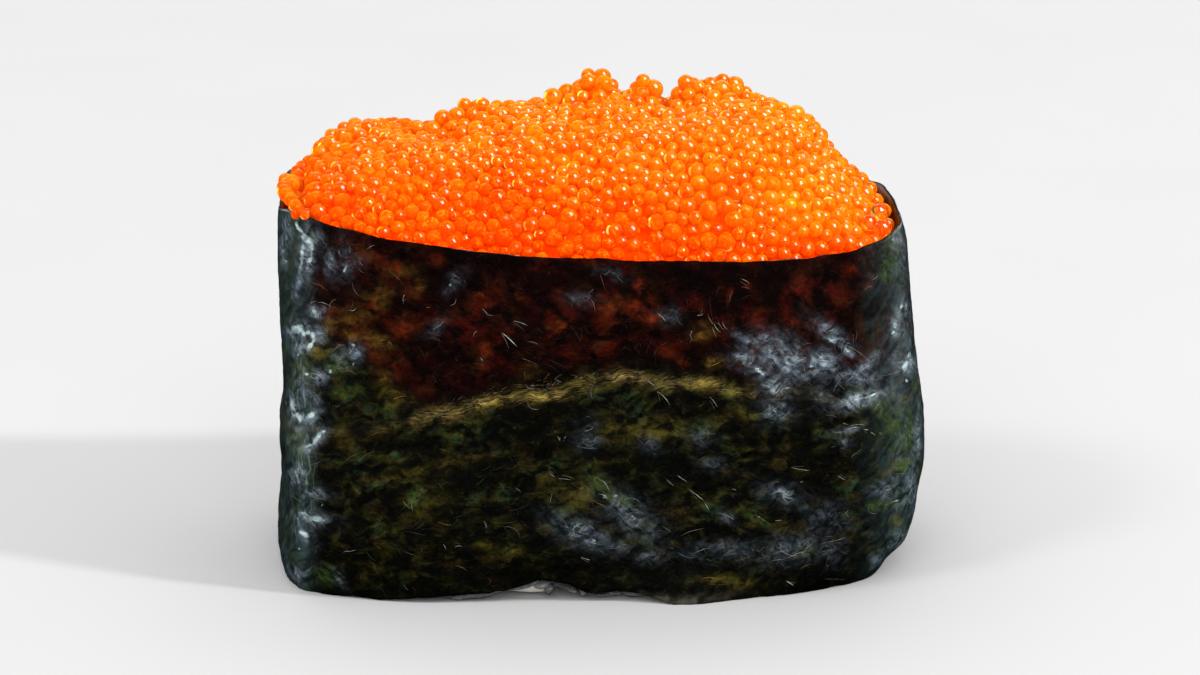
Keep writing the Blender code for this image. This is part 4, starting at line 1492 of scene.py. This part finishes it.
def rice_grains(material):
    """Cooked grains over the foot of the block, pressed flat where it stands."""
    rng = np.random.default_rng(19)
    base, tris = sphere(3)
    spots = []
    tries = 0
    while tries < 2600 and len(spots) < 165:
        tries += 1
        x, y = rng.uniform(-23.5, 22.5), rng.uniform(-12.6, 12.6)
        gap, _, _ = wall_gap(np.array(x), np.array(y), 0.02, 0.6)
        if gap < 1.9:
            continue
        if any((x - q[0]) ** 2 / 5.2 + (y - q[1]) ** 2 / 4.4 < 1 for q in spots):
            continue
        spots.append((x, y, rng.uniform(0.95, 1.3), rng.uniform(0, np.pi)))
    points, faces, tones = [], [], []
    for k, (x, y, z, yaw) in enumerate(spots):
        length, wide, thick = rng.uniform(2.5, 3.2), rng.uniform(1.2, 1.45), rng.uniform(1.0, 1.25)
        v = base.copy()
        v[:, 0] = np.sign(v[:, 0]) * np.abs(v[:, 0]) ** 0.9
        bend = rng.normal(0, 0.16)
        g = v * np.array([length, wide, thick])
        g[:, 1] += bend * (g[:, 0] ** 2 / length - length / 3)
        g = g * (1 + 0.035 * noise(g + k * 7.0, 1.1, 3)[:, None])
        pitch = rng.normal(0, 0.10)
        c, s = math.cos(yaw), math.sin(yaw)
        cp, sp = math.cos(pitch), math.sin(pitch)
        turn = np.array([[c * cp, -s, c * sp], [s * cp, c, s * sp], [-sp, 0, cp]])
        g = g @ turn.T + np.array([x, y, z])
        low = g[:, 2]
        g[:, 2] = np.where(low < 0.35, 0.03 + 0.32 * np.exp((low - 0.35) / 0.32), low)
        gap, wx, wy = wall_gap(g[:, 0], g[:, 1], share_at(g[:, 0], g[:, 2]), 0.32)
        under = lower_edge(g[:, 0], g[:, 1])
        allow = np.where(g[:, 2] < under - 0.1, -0.25, 0.12)
        back = np.clip(allow - gap, 0, 3)
        g[:, 0] += wx * back
        g[:, 1] += wy * back
        faces.append(tris + len(base) * len(points))
        points.append(g)
        tone = rng.uniform(0.85, 1.05)
        tones.append(np.full((len(g), 3), tone))
    obj = mesh_object("rice_grains", np.concatenate(points), faces, material)
    paint(obj, "tone", np.concatenate(tones))
    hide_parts("rice_base")
    return obj


# wet ends of grains that hang out under the sheet's lifted edge, painted grey for its shade:
# x, height, half length, half height, tilt
EDGE_GRAINS = (
    (-14.6, 0.36, 1.0, 0.16, 0.02),
    (-12.7, 0.46, 1.3, 0.20, -0.05),
    (-10.2, 0.46, 2.0, 0.34, 0.12),
    (-8.2, 0.84, 1.3, 0.22, 0.22),
    (-6.3, 1.18, 1.5, 0.28, 0.30),
    (-4.9, 1.22, 0.75, 0.36, 0.1),
    (-4.3, 0.78, 0.42, 0.40, 0.5),
    (-3.3, 1.05, 0.85, 0.28, -0.45),
    (-2.55, 0.66, 0.5, 0.22, -0.3),
    (-1.75, 0.58, 0.34, 0.42, 0.0),
    (-0.4, 0.44, 1.1, 0.13, 0.02),
    (0.75, 0.58, 0.6, 0.24, 0.1),
    (2.5, 0.46, 2.0, 0.34, -0.06),
    (4.6, 0.28, 1.3, 0.22, -0.04),
)


def edge_grains(material):
    rng = np.random.default_rng(23)
    base, tris = sphere(4)
    points, faces, tones = [], [], []
    angle = np.linspace(np.pi, TURN, 721)
    wall_x, wall_y = outline(angle, 0.03, STRIP_THICK + 0.1)
    for k, (x, z, long, tall, tilt) in enumerate(EDGE_GRAINS):
        g = base * np.array([long, 0.75, tall])
        g = g * (1 + 0.10 * noise(g + k * 5.0, 0.8, 3)[:, None])
        c, s = math.cos(tilt), math.sin(tilt)
        g = np.stack([g[:, 0] * c - g[:, 2] * s, g[:, 1], g[:, 0] * s + g[:, 2] * c], -1)
        g[:, 2] += 0.07 * np.sin(2.4 * g[:, 0] + k)
        y = np.interp(x + g[:, 0], wall_x, wall_y)
        g = g + np.array([x, 0.0, z])
        g[:, 1] += y + 0.62
        low = g[:, 2]
        g[:, 2] = np.where(low < 0.15, 0.03 + 0.12 * np.exp((low - 0.15) / 0.12), low)
        faces.append(tris + len(base) * len(points))
        points.append(g)
        tones.append(np.full((len(g), 3), rng.uniform(0.75, 1.1)))
    obj = mesh_object("rice_edge", np.concatenate(points), faces, material)
    paint(obj, "tone", np.concatenate(tones))
    return obj


# ---- materials -----------------------------------------------------------------------
class Nodes:
    """Short names for the nodes that the materials are made of."""

    def __init__(self, name):
        self.material = bpy.data.materials.new(name)
        self.material.use_nodes = True
        self.tree = self.material.node_tree
        self.shader = self.tree.nodes["Principled BSDF"]
        where = self.tree.nodes.new("ShaderNodeTexCoord").outputs["Object"]
        scaled = self.tree.nodes.new("ShaderNodeVectorMath")
        scaled.operation = "SCALE"
        self.link(where, scaled.inputs[0])
        scaled.inputs["Scale"].default_value = 1000.0
        self.mm = scaled.outputs[0]

    def link(self, out, into):
        self.tree.links.new(out, into)

    def put(self, node, key, value):
        if isinstance(value, bpy.types.NodeSocket):
            self.link(value, node.inputs[key])
        elif value is not None:
            node.inputs[key].default_value = value

    def stretch(self, vector, scale, turn=(0, 0, 0), offset=(0, 0, 0)):
        node = self.tree.nodes.new("ShaderNodeMapping")
        self.link(vector, node.inputs[0])
        node.inputs["Location"].default_value = offset
        node.inputs["Rotation"].default_value = turn
        node.inputs["Scale"].default_value = scale
        return node.outputs[0]

    def turned(self, vector, scale, angle, offset):
        """Points in a turned frame, with lumps of these sizes along and across it."""
        node = self.tree.nodes.new("ShaderNodeMapping")
        node.vector_type = "TEXTURE"
        self.link(vector, node.inputs[0])
        node.inputs["Location"].default_value = (offset, 0.37 * offset, 0)
        node.inputs["Rotation"].default_value = (0, 0, angle)
        node.inputs["Scale"].default_value = scale
        return node.outputs[0]

    def scaled(self, colour, amount):
        node = self.tree.nodes.new("ShaderNodeVectorMath")
        node.operation = "SCALE"
        self.link(colour, node.inputs[0])
        self.put(node, "Scale", amount)
        return node.outputs[0]

    def swayed(self, vector, size, amount):
        """Points pushed about smoothly, so that straight patterns bend."""
        centred = self.tree.nodes.new("ShaderNodeVectorMath")
        centred.operation = "SUBTRACT"
        self.link(self.noise(size, 2, 0.5, 0.0, vector, colour=True), centred.inputs[0])
        centred.inputs[1].default_value = (0.5, 0.5, 0.5)
        moved = self.tree.nodes.new("ShaderNodeVectorMath")
        moved.operation = "MULTIPLY_ADD"
        self.link(centred.outputs[0], moved.inputs[0])
        moved.inputs[1].default_value = (amount, amount, 0.0)
        self.link(vector, moved.inputs[2])
        return moved.outputs[0]

    def noise(self, size, detail=3.0, rough=0.55, warp=0.0, vector=None, colour=False):
        node = self.tree.nodes.new("ShaderNodeTexNoise")
        self.link(vector or self.mm, node.inputs["Vector"])
        node.inputs["Scale"].default_value = 1.0 / size
        node.inputs["Detail"].default_value = detail
        node.inputs["Roughness"].default_value = rough
        node.inputs["Distortion"].default_value = warp
        return node.outputs["Color" if colour else "Fac"]

    def cells(self, size, feature="F1", vector=None, output="Distance", random=1.0):
        node = self.tree.nodes.new("ShaderNodeTexVoronoi")
        node.feature = feature
        self.link(vector or self.mm, node.inputs["Vector"])
        node.inputs["Scale"].default_value = 1.0 / size
        node.inputs["Randomness"].default_value = random
        return node.outputs[output]

    def steps(self, value, low, high, to_low=0.0, to_high=1.0, smooth=True):
        node = self.tree.nodes.new("ShaderNodeMapRange")
        node.interpolation_type = "SMOOTHSTEP" if smooth else "LINEAR"
        self.link(value, node.inputs["Value"])
        for key, number in (("From Min", low), ("From Max", high), ("To Min", to_low), ("To Max", to_high)):
            node.inputs[key].default_value = number
        return node.outputs["Result"]

    def math(self, kind, a, b=None, clamp=False):
        node = self.tree.nodes.new("ShaderNodeMath")
        node.operation = kind
        node.use_clamp = clamp
        self.put(node, 0, a)
        if b is not None:
            self.put(node, 1, b)
        return node.outputs[0]

    def mix(self, amount, a, b, kind="MIX"):
        node = self.tree.nodes.new("ShaderNodeMix")
        node.data_type = "RGBA"
        node.blend_type = kind
        for socket, value in ((node.inputs[0], amount), (node.inputs[6], a), (node.inputs[7], b)):
            if isinstance(value, bpy.types.NodeSocket):
                self.link(value, socket)
            elif isinstance(value, (int, float)):
                socket.default_value = value
            else:
                socket.default_value = (*value, 1.0)
        return node.outputs[2]

    def where_normal(self):
        return self.tree.nodes.new("ShaderNodeTexCoord").outputs["Normal"]

    def attribute(self, name, output="Color"):
        node = self.tree.nodes.new("ShaderNodeAttribute")
        node.attribute_name = name
        return node.outputs[output]

    def split(self, colour):
        node = self.tree.nodes.new("ShaderNodeSeparateColor")
        self.link(colour, node.inputs[0])
        return node.outputs

    def bump(self, height, distance, strength=1.0, after=None):
        node = self.tree.nodes.new("ShaderNodeBump")
        node.inputs["Distance"].default_value = distance * MM
        node.inputs["Strength"].default_value = strength
        self.link(height, node.inputs["Height"])
        if after is not None:
            self.link(after, node.inputs["Normal"])
        return node.outputs[0]

    def set(self, **sockets):
        for key, value in sockets.items():
            self.put(self.shader, key.replace("_", " "), value)
        return self.material


def seaweed_material():
    n = Nodes("moist_seaweed")
    above, line, wet = n.split(n.attribute("zones"))[:3]
    teal, hot, gold = n.split(n.attribute("edges"))[:3]
    side, corner, pale = n.split(n.attribute("marks"))[:3]
    shade, glint, green = (n.attribute(k, "Alpha") for k in ("zones", "edges", "marks"))
    flat = n.attribute("place")
    height = n.split(flat)[1]
    bent = n.swayed(flat, 2.4, 1.8)

    def threads(long, thin, angle, low, high, seed):
        return n.steps(n.noise(1.0, 3, 0.55, 0.0, n.turned(bent, (long, thin, 1.0), angle, seed)), low, high)

    def either(a, b):
        return n.math("MAXIMUM", a, b)

    def lines(long, thin, angle, width, seed):
        """Meandering hairlines: where a calm noise crosses its middle."""
        calm = n.noise(1.0, 1, 0.4, 0.0, n.turned(bent, (long, thin, 1.0), angle, seed))
        return n.steps(n.math("ABSOLUTE", n.math("SUBTRACT", calm, 0.5)), 0.0, width, 1.0, 0.0)

    fibres = either(
        either(threads(1.2, 0.16, -0.60, 0.60, 0.78, 3.0), threads(1.0, 0.14, 0.50, 0.61, 0.79, 11.0)),
        either(threads(0.8, 0.13, -1.25, 0.62, 0.80, 23.0), threads(0.9, 0.14, 0.02, 0.61, 0.79, 37.0)),
    )
    clump = n.noise(1.2, 5, 0.58, 0.3, n.turned(bent, (1.35, 0.9, 1.0), 0.15, 7.0))
    patch = n.noise(3.4, 4, 0.56, 0.2, n.turned(flat, (1.0, 0.75, 1.0), -0.3, 17.0))
    other = n.noise(2.6, 4, 0.58, 0.2, n.turned(flat, (1.0, 0.8, 1.0), 0.4, 61.0))
    speck = n.noise(0.45, 5, 0.70, 0.3, flat)
    grain = n.mix(teal, n.steps(speck, 0.30, 0.70, 0.30, 1.70, smooth=False), n.steps(speck, 0.30, 0.70, 0.75, 1.25, smooth=False))
    broad = n.noise(6.5, 3, 0.5, 0.4, n.turned(flat, (1.0, 0.7, 1.0), 0.2, 29.0))
    soft = n.noise(1.15, 3, 0.5, 0.4, n.turned(bent, (1.9, 0.6, 1.0), 0.62, 91.0))
    softer = n.noise(0.85, 3, 0.5, 0.3, n.turned(bent, (1.7, 0.5, 1.0), -0.62, 97.0))
    # lower down: black with olive and brown flakes, blacker towards the foot
    flake = n.mix(n.steps(patch, 0.44, 0.60), (0.023, 0.0150, 0.0030), (0.025, 0.026, 0.0036))
    flake = n.mix(n.steps(other, 0.52, 0.64), flake, (0.013, 0.024, 0.0085))
    dim = n.math("MULTIPLY", n.steps(height, 0.3, 5.5, 0.25, 1.0), n.steps(other, 0.36, 0.62, 0.12, 0.95))
    dim = n.math("MULTIPLY", dim, n.steps(broad, 0.36, 0.60, 0.35, 1.15))
    flake = n.scaled(flake, dim)
    lower = n.mix(n.steps(clump, 0.42, 0.70), (0.0011, 0.0012, 0.0007), flake)
    # the ends: blue-green, partly the sheet's own colour and partly painted sheen where the end faces catch the side
    # lamps
    sea = n.mix(n.steps(patch, 0.42, 0.60), (0.018, 0.036, 0.036), (0.016, 0.032, 0.010))
    sea = n.mix(n.steps(soft, 0.34, 0.66), (0.0050, 0.0095, 0.0115), sea)
    lower = n.mix(teal, lower, sea)
    # above: painted glow, the eggs showing dark red through the sheet
    cloud = n.noise(1.7, 5, 0.60, 0.3, n.turned(bent, (0.9, 1.1, 1.0), 0.9, 83.0))
    ember = n.mix(n.steps(other, 0.44, 0.60), (0.027, 0.0018, 0.0006), (0.028, 0.0060, 0.0011))
    # the painted shade darkens the glow here
    ember = n.scaled(ember, n.math("MULTIPLY", n.steps(patch, 0.34, 0.62, 0.25, 1.2), shade))
    ember = n.scaled(ember, n.steps(broad, 0.38, 0.60, 0.30, 1.05))
    warm = n.mix(n.steps(cloud, 0.38, 0.68), (0.0020, 0.0004, 0.0003), ember)
    warm = n.mix(n.math("MULTIPLY", hot, n.steps(cloud, 0.38, 0.66, 0.0, 0.9)), warm, (0.115, 0.0125, 0.0014))
    upper = n.mix(n.math("MULTIPLY", teal, 0.85), warm, sea)
    colour = n.mix(above, lower, upper)
    colour = n.mix(n.math("MULTIPLY", gold, n.steps(clump, 0.38, 0.66, 0.05, 0.85)), colour, n.mix(above, (0.100, 0.080, 0.0090), (0.150, 0.074, 0.0085)))
    colour = n.mix(n.math("MULTIPLY", green, n.steps(softer, 0.38, 0.62, 0.1, 0.9)), colour, (0.042, 0.070, 0.0130))
    colour = n.scaled(colour, grain)
    # the fibrous line where the rice ends, painted pale, partly as light caught on the ledge under the crease
    along = threads(1.6, 0.10, 0.18, 0.36, 0.66, 47.0)
    lit = n.math("MULTIPLY", line, n.math("MULTIPLY", n.steps(along, 0.0, 1.0, 0.12, 1.15), n.steps(clump, 0.36, 0.58, 0.15, 1.1)), True)
    colour = n.mix(lit, colour, n.scaled(n.mix(n.steps(other, 0.45, 0.6), (0.205, 0.138, 0.038), (0.185, 0.140, 0.022)), grain))
    # pale fibres
    tint = n.mix(above, (0.090, 0.088, 0.040), (0.080, 0.026, 0.012))
    tint = n.mix(teal, tint, (0.090, 0.130, 0.110))
    colour = n.mix(n.math("MULTIPLY", fibres, n.steps(clump, 0.42, 0.66, 0.02, 0.34)), colour, tint)
    # painted sheen: bluish where it is wettest, with coat gloss there too, and painted hairline highlights across it
    wet_sheen = n.math("MULTIPLY", n.steps(soft, 0.30, 0.60, 0.22, 1.25), n.steps(clump, 0.34, 0.58, 0.50, 1.08))
    wet_sheen = n.math("MULTIPLY", wet_sheen, n.steps(speck, 0.30, 0.62, 0.60, 1.10))
    wet_sheen = n.math("MULTIPLY", wet, wet_sheen, True)
    sheen_tone = n.mix(n.steps(softer, 0.34, 0.66), (0.026, 0.037, 0.047), (0.120, 0.155, 0.198))
    sheen_tone = n.scaled(sheen_tone, n.steps(n.math("MAXIMUM", above, teal), 0.0, 1.0, 0.62, 1.0))
    sheen_tone = n.mix(n.math("MULTIPLY", green, 0.6), sheen_tone, (0.060, 0.085, 0.040))
    colour = n.mix(wet_sheen, colour, n.scaled(sheen_tone, n.steps(speck, 0.3, 0.7, 0.6, 1.4)))
    hairline_glint = either(lines(2.2, 0.55, 0.62, 0.030, 5.0), lines(1.9, 0.50, -0.50, 0.026, 29.0))
    hairline_glint = n.math("MULTIPLY", hairline_glint, n.steps(clump, 0.40, 0.60))
    colour = n.mix(n.math("MULTIPLY", n.math("MULTIPLY", hairline_glint, n.steps(wet, 0.2, 0.7)), 0.6), colour, (0.240, 0.285, 0.295))
    # painted glints: the brightest spots and streaks, with sharp outlines
    sharp = n.math("ADD", glint, n.math("MULTIPLY", n.math("SUBTRACT", softer, 0.5), 0.9))
    bright = n.mix(n.steps(soft, 0.36, 0.60), (0.110, 0.165, 0.165), (0.360, 0.450, 0.440))
    colour = n.mix(n.steps(sharp, 0.32, 0.78, 0.0, 0.95), colour, bright)
    # painted glints along the folds down the corners
    upright = lines(2.6, 0.6, 1.45, 0.05, 71.0)
    fold_glint = n.math("MULTIPLY", n.math("MULTIPLY", corner, upright), n.steps(soft, 0.42, 0.56))
    colour = n.mix(n.math("MULTIPLY", fold_glint, 0.45), colour, (0.170, 0.240, 0.220))
    # greyish wet foot, and the amber inside
    colour = n.mix(n.math("MULTIPLY", pale, n.steps(clump, 0.38, 0.60, 0.10, 0.75)), colour, (0.070, 0.064, 0.048))
    amber = n.mix(n.steps(clump, 0.40, 0.62), (0.020, 0.0085, 0.0022), (0.105, 0.046, 0.0060))
    colour = n.mix(side, colour, n.scaled(amber, grain))
    smooth = n.math("MAXIMUM", n.math("MULTIPLY", teal, 0.85), wet_sheen)
    crumple = n.mix(smooth, n.noise(0.6, 5, 0.66, 0.3, bent), n.noise(1.3, 2, 0.5, 0.5, bent))
    normal = n.bump(crumple, 0.20, 1.0)
    fine = n.math("ADD", n.math("MULTIPLY", fibres, 0.6), speck)
    normal = n.bump(n.math("MULTIPLY", fine, n.steps(smooth, 0.0, 1.0, 1.0, 0.3)), 0.035, 0.8, normal)
    n.shader.inputs["Specular IOR Level"].default_value = 0.02
    n.shader.inputs["Coat Roughness"].default_value = 0.30
    n.shader.inputs["Coat IOR"].default_value = 1.6
    n.set(Base_Color=colour, Roughness=n.steps(n.noise(1.1, 4, 0.6, 0.5), 0.35, 0.7, 0.28, 0.5), Normal=normal)
    gloss = n.math("MAXIMUM", wet_sheen, n.math("MULTIPLY", corner, 0.9))
    gloss = n.math("MAXIMUM", gloss, n.math("MULTIPLY", teal, n.steps(patch, 0.36, 0.60, 0.35, 0.9)))
    n.set(Coat_Weight=n.math("ADD", gloss, n.math("MULTIPLY", fibres, 0.06), True))
    return n.material


def fibre_material():
    n = Nodes("seaweed_fibre")
    tone = n.attribute("tone")
    colour = n.mix(n.steps(n.noise(0.3, 3), 0.35, 0.65), tone, n.mix(0.6, tone, (0.02, 0.02, 0.01)))
    n.shader.inputs["Specular IOR Level"].default_value = 0.25
    n.set(Base_Color=colour, Roughness=n.steps(n.noise(0.5, 2), 0.3, 0.7, 0.3, 0.5))
    return n.material


def egg_material(name, clear):
    n = Nodes(name)
    tone = n.attribute("tone")
    gather = n.attribute("tone", "Alpha")
    swirl = n.noise(0.42, 3, 0.55, 1.2)
    gloss = n.split(n.attribute("gloss"))[0]
    colour = n.mix(n.steps(swirl, 0.50, 0.68, 0.0, 0.45), tone, (0.80, 0.34, 0.004))
    colour = n.mix(n.steps(n.noise(0.5, 2, 0.5, 0.8, n.stretch(n.mm, (1, 1, 1), offset=(9, 4, 7))), 0.50, 0.70, 0.0, 0.6), colour, (0.74, 0.043, 0.0003))
    # painted light: a golden crescent where light that came through the egg would gather
    def facing(way):
        node = n.tree.nodes.new("ShaderNodeVectorMath")
        node.operation = "DOT_PRODUCT"
        n.link(n.where_normal(), node.inputs[0])
        if isinstance(way, bpy.types.NodeSocket):
            n.link(way, node.inputs[1])
        else:
            node.inputs[1].default_value = way
        return node.outputs["Value"]

    far = n.steps(facing(n.attribute("glow")), 0.82, 0.90)
    far = n.math("MULTIPLY", far, n.steps(facing((0.0, -0.957, 0.29)), 0.56, 0.70, 1.0, 0.0))
    far = n.math("MULTIPLY", n.math("MULTIPLY", far, gather), n.steps(swirl, 0.30, 0.50, 0.4, 1.0))
    colour = n.mix(far, colour, (1.0, 0.74, 0.10))
    n.shader.inputs["IOR"].default_value = 1.37
    n.shader.inputs["Specular IOR Level"].default_value = 0.0
    n.shader.inputs["Specular Tint"].default_value = (1.0, 0.28, 0.03, 1.0)
    n.shader.inputs["Subsurface Weight"].default_value = 0.8
    n.shader.inputs["Subsurface Radius"].default_value = (1.2, 0.42, 0.08)
    # painted glow: a faint orange emission fills the shade between the eggs
    n.shader.inputs["Emission Color"].default_value = (1.0, 0.09, 0.0, 1.0)
    n.shader.inputs["Emission Strength"].default_value = 0.08
    n.shader.inputs["Subsurface Scale"].default_value = 1.0 * MM
    n.shader.inputs["Coat Roughness"].default_value = 0.08
    n.set(Base_Color=colour, Roughness=n.steps(gloss, 0.15, 0.55, 0.36, 0.08), Coat_Weight=n.steps(gloss, 0.35, 0.85, 0.0, 0.9))
    n.set(Transmission_Weight=n.steps(far, 0.0, 1.0, clear, clear * 0.15), Normal=n.bump(n.noise(0.38, 2, 0.5), 0.05, 0.6))
    return n.material


def clear_egg_material():
    """The few glassy eggs that let the dark behind them show."""
    n = Nodes("egg_clear")
    tone = n.attribute("tone")
    colour = n.mix(n.steps(n.noise(0.5, 2, 0.5, 0.8), 0.40, 0.64, 0.0, 0.8), n.mix(0.75, tone, (0.96, 0.42, 0.03)), (0.97, 0.62, 0.06))
    n.shader.inputs["IOR"].default_value = 1.34
    n.shader.inputs["Specular IOR Level"].default_value = 0.6
    n.shader.inputs["Transmission Weight"].default_value = 0.96
    n.shader.inputs["Coat Roughness"].default_value = 0.05
    n.shader.inputs["Coat Weight"].default_value = 0.8
    n.set(Base_Color=colour, Roughness=n.steps(n.noise(0.6, 2), 0.3, 0.7, 0.04, 0.10), Normal=n.bump(n.noise(0.38, 2, 0.5), 0.04, 0.5))
    return n.material


def core_material():
    n = Nodes("roe_depths")
    tone = n.attribute("tone")
    colour = n.mix(n.steps(n.noise(0.7, 3), 0.35, 0.7, 0.0, 0.5), tone, (0.93, 0.07, 0.001))
    n.shader.inputs["Subsurface Weight"].default_value = 0.5
    n.shader.inputs["Subsurface Radius"].default_value = (1.0, 0.3, 0.05)
    # painted glow: orange emission lights the depths between the eggs
    n.shader.inputs["Emission Color"].default_value = (1.0, 0.07, 0.0, 1.0)
    n.shader.inputs["Emission Strength"].default_value = 0.20
    n.shader.inputs["Subsurface Scale"].default_value = 0.8 * MM
    n.shader.inputs["Specular IOR Level"].default_value = 0.0
    n.set(Base_Color=colour, Roughness=n.steps(n.noise(0.3, 2), 0.3, 0.7, 0.45, 0.6))
    return n.material


def rice_material(name, colour, deep):
    n = Nodes(name)
    cloud = n.noise(1.3, 4, 0.6, 0.4)
    base = n.mix(n.steps(cloud, 0.35, 0.7), colour, deep)
    n.shader.inputs["Subsurface Weight"].default_value = 0.4
    n.shader.inputs["Subsurface Radius"].default_value = (1.0, 0.8, 0.6)
    n.shader.inputs["Subsurface Scale"].default_value = 0.7 * MM
    n.set(
        Base_Color=base,
        Roughness=n.steps(n.noise(0.8, 3), 0.3, 0.7, 0.22, 0.45),
        Normal=n.bump(n.noise(0.35, 3, 0.6), 0.04, 0.6),
    )
    return n.material


def shaded_wet_rice_material():
    n = Nodes("rice_wet_in_shade")
    tone = n.attribute("tone")
    cloud = n.noise(0.9, 4, 0.6, 0.6)
    # painted shade: grey, as the wet grain ends lie in shade under the sheet's lifted edge
    base = n.mix(n.steps(cloud, 0.35, 0.65), (0.20, 0.20, 0.215), (0.075, 0.082, 0.070))
    n.shader.inputs["Subsurface Weight"].default_value = 0.3
    n.shader.inputs["Subsurface Radius"].default_value = (1.0, 0.9, 0.8)
    n.shader.inputs["Subsurface Scale"].default_value = 0.4 * MM
    n.shader.inputs["Transmission Weight"].default_value = 0.35
    n.set(
        Base_Color=n.mix(1.0, base, tone, "MULTIPLY"),
        Roughness=n.steps(n.noise(0.6, 3), 0.3, 0.7, 0.12, 0.3),
        Normal=n.bump(n.noise(0.3, 3, 0.6), 0.03, 0.6),
    )
    return n.material


def floor_material():
    n = Nodes("pale_floor")
    tint = n.mix(n.steps(n.noise(60.0, 2), 0.3, 0.7), (0.368, 0.368, 0.368), (0.372, 0.372, 0.372))
    n.shader.inputs["Specular IOR Level"].default_value = 0.1
    n.set(Base_Color=tint, Roughness=n.steps(n.noise(20.0, 2), 0.3, 0.7, 0.7, 0.75))
    return n.material


# ---- stage ----------------------------------------------------------------------------
def direction(azimuth, elevation):
    a, e = math.radians(azimuth), math.radians(elevation)
    return Vector((math.sin(a) * math.cos(e), -math.cos(a) * math.cos(e), math.sin(e)))


def softbox(name, azimuth, elevation, distance, wide, tall, strength, colour, glints=True, body=True):
    data = bpy.data.lights.new(name, "AREA")
    data.shape = "RECTANGLE"
    data.size, data.size_y = wide, tall
    data.energy, data.color = strength, colour
    light = bpy.data.objects.new(name, data)
    bpy.context.scene.collection.objects.link(light)
    at = Vector((0, 0, 0.02)) + direction(azimuth, elevation) * distance
    light.location = at
    light.rotation_euler = (at - Vector((0, 0, 0.02))).to_track_quat("Z", "Y").to_euler()
    light.visible_camera = False
    light.visible_glossy = glints
    light.visible_diffuse = light.visible_transmission = body
    return light


def stage(seaweed, moist):
    bm = bmesh.new()
    bmesh.ops.create_grid(bm, x_segments=40, y_segments=40, size=3.0)
    mesh = bpy.data.meshes.new("floor")
    bm.to_mesh(mesh)
    bm.free()
    floor = bpy.data.objects.new("floor", mesh)
    bpy.context.scene.collection.objects.link(floor)
    mesh.materials.append(floor_material())
    floor.visible_glossy = False

    world = bpy.data.worlds.new("studio")
    world.use_nodes = True
    back = world.node_tree.nodes["Background"]
    back.inputs["Color"].default_value = (1.0, 1.0, 1.0, 1.0)
    back.inputs["Strength"].default_value = WORLD
    world.cycles_visibility.glossy = False
    bpy.context.scene.world = world

    # small hard lamps make the two shadows, wide ones fill in, the rest only make glints
    softbox("key", 66, 36, 1.5, 0.12, 0.12, KEY, (1.0, 1.0, 1.0), glints=False)
    softbox("fill", -58, 47, 1.5, 0.30, 0.30, FILL, (1.0, 1.0, 1.0), glints=False)
    softbox("back", 180, 60, 1.5, 1.2, 0.9, BACK, (1.0, 1.0, 1.0), glints=False)
    softbox("front", -6, 32, 1.5, 1.2, 0.9, FRONT, (1.0, 1.0, 1.0), glints=False)
    wet = bpy.data.collections.new("lit_by_the_window")
    for piece in moist:
        wet.objects.link(piece)
    for lamp in (
        softbox("window", 40, 50, 1.5, 0.84, 1.25, WINDOW, (1.0, 0.93, 0.95), body=False),
        softbox("rim", 180, 32, 1.5, 1.8, 0.6, RIM, (1.0, 0.93, 0.93), body=False),
    ):
        lamp.light_linking.receiver_collection = wet
    sheen = bpy.data.collections.new("lit_by_the_strips")
    for piece in seaweed:
        sheen.objects.link(piece)
    for name, azimuth, elevation, wide, tall, strength in (
        ("strip_right", 78, 18, 0.35, 1.2, STRIPS * 0.62),
        ("strip_left", -62, 18, 0.35, 1.2, STRIPS),
        ("low_right", 24, 13, 0.7, 0.45, LOW),
        ("low_left", -26, 22, 0.4, 0.4, LOW * 0.4),
        ("edge_left", -120, 8, 0.7, 0.16, EDGES),
        ("edge_right", 126, 8, 0.7, 0.16, EDGES),
    ):
        away = 0.5 if name.startswith("edge") else 1.5
        lamp = softbox(name, azimuth, elevation, away, wide, tall, strength, (0.86, 0.96, 1.0), body=False)
        lamp.light_linking.receiver_collection = sheen

    camera = bpy.data.cameras.new("camera")
    camera.lens, camera.sensor_width = LENS, 36.0
    camera.shift_x, camera.shift_y = SHIFT
    camera.clip_start, camera.clip_end = 0.01, 20.0
    obj = bpy.data.objects.new("camera", camera)
    bpy.context.scene.collection.objects.link(obj)
    out = direction(AZIMUTH, ELEVATION)
    obj.location = Vector(TARGET) * MM + out * DISTANCE * MM
    obj.rotation_euler = out.to_track_quat("Z", "Y").to_euler()
    bpy.context.scene.camera = obj

    settings = bpy.context.scene.view_settings
    settings.view_transform = "Standard"
    settings.look = "None"
    settings.exposure, settings.gamma = 0.0, 1.0


def main():
    sheet, outer, n, s, t = seaweed_sheet(seaweed_material())
    fibres = seaweed_fibres(outer, n, s, t, fibre_material())
    eggs = roe([egg_material(*k) for k in (("egg_deep", 0.28), ("egg_mid", 0.4), ("egg_golden", 0.55), ("egg_under", 0.2))])
    core = roe_core(core_material())
    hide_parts("roe_heap")
    rice = [
        rice_core(rice_material("rice_inside", (0.70, 0.67, 0.58), (0.62, 0.58, 0.50))),
        rice_grains(rice_material("rice_grain", (0.78, 0.75, 0.66), (0.66, 0.63, 0.55))),
        edge_grains(shaded_wet_rice_material()),
    ]
    stage((sheet, fibres), eggs + [core] + rice)
    total = sum(len(p.vertices) - 2 for o in bpy.data.objects if o.type == "MESH" and not o.hide_render for p in o.data.polygons)
    print("triangles", total)


main()
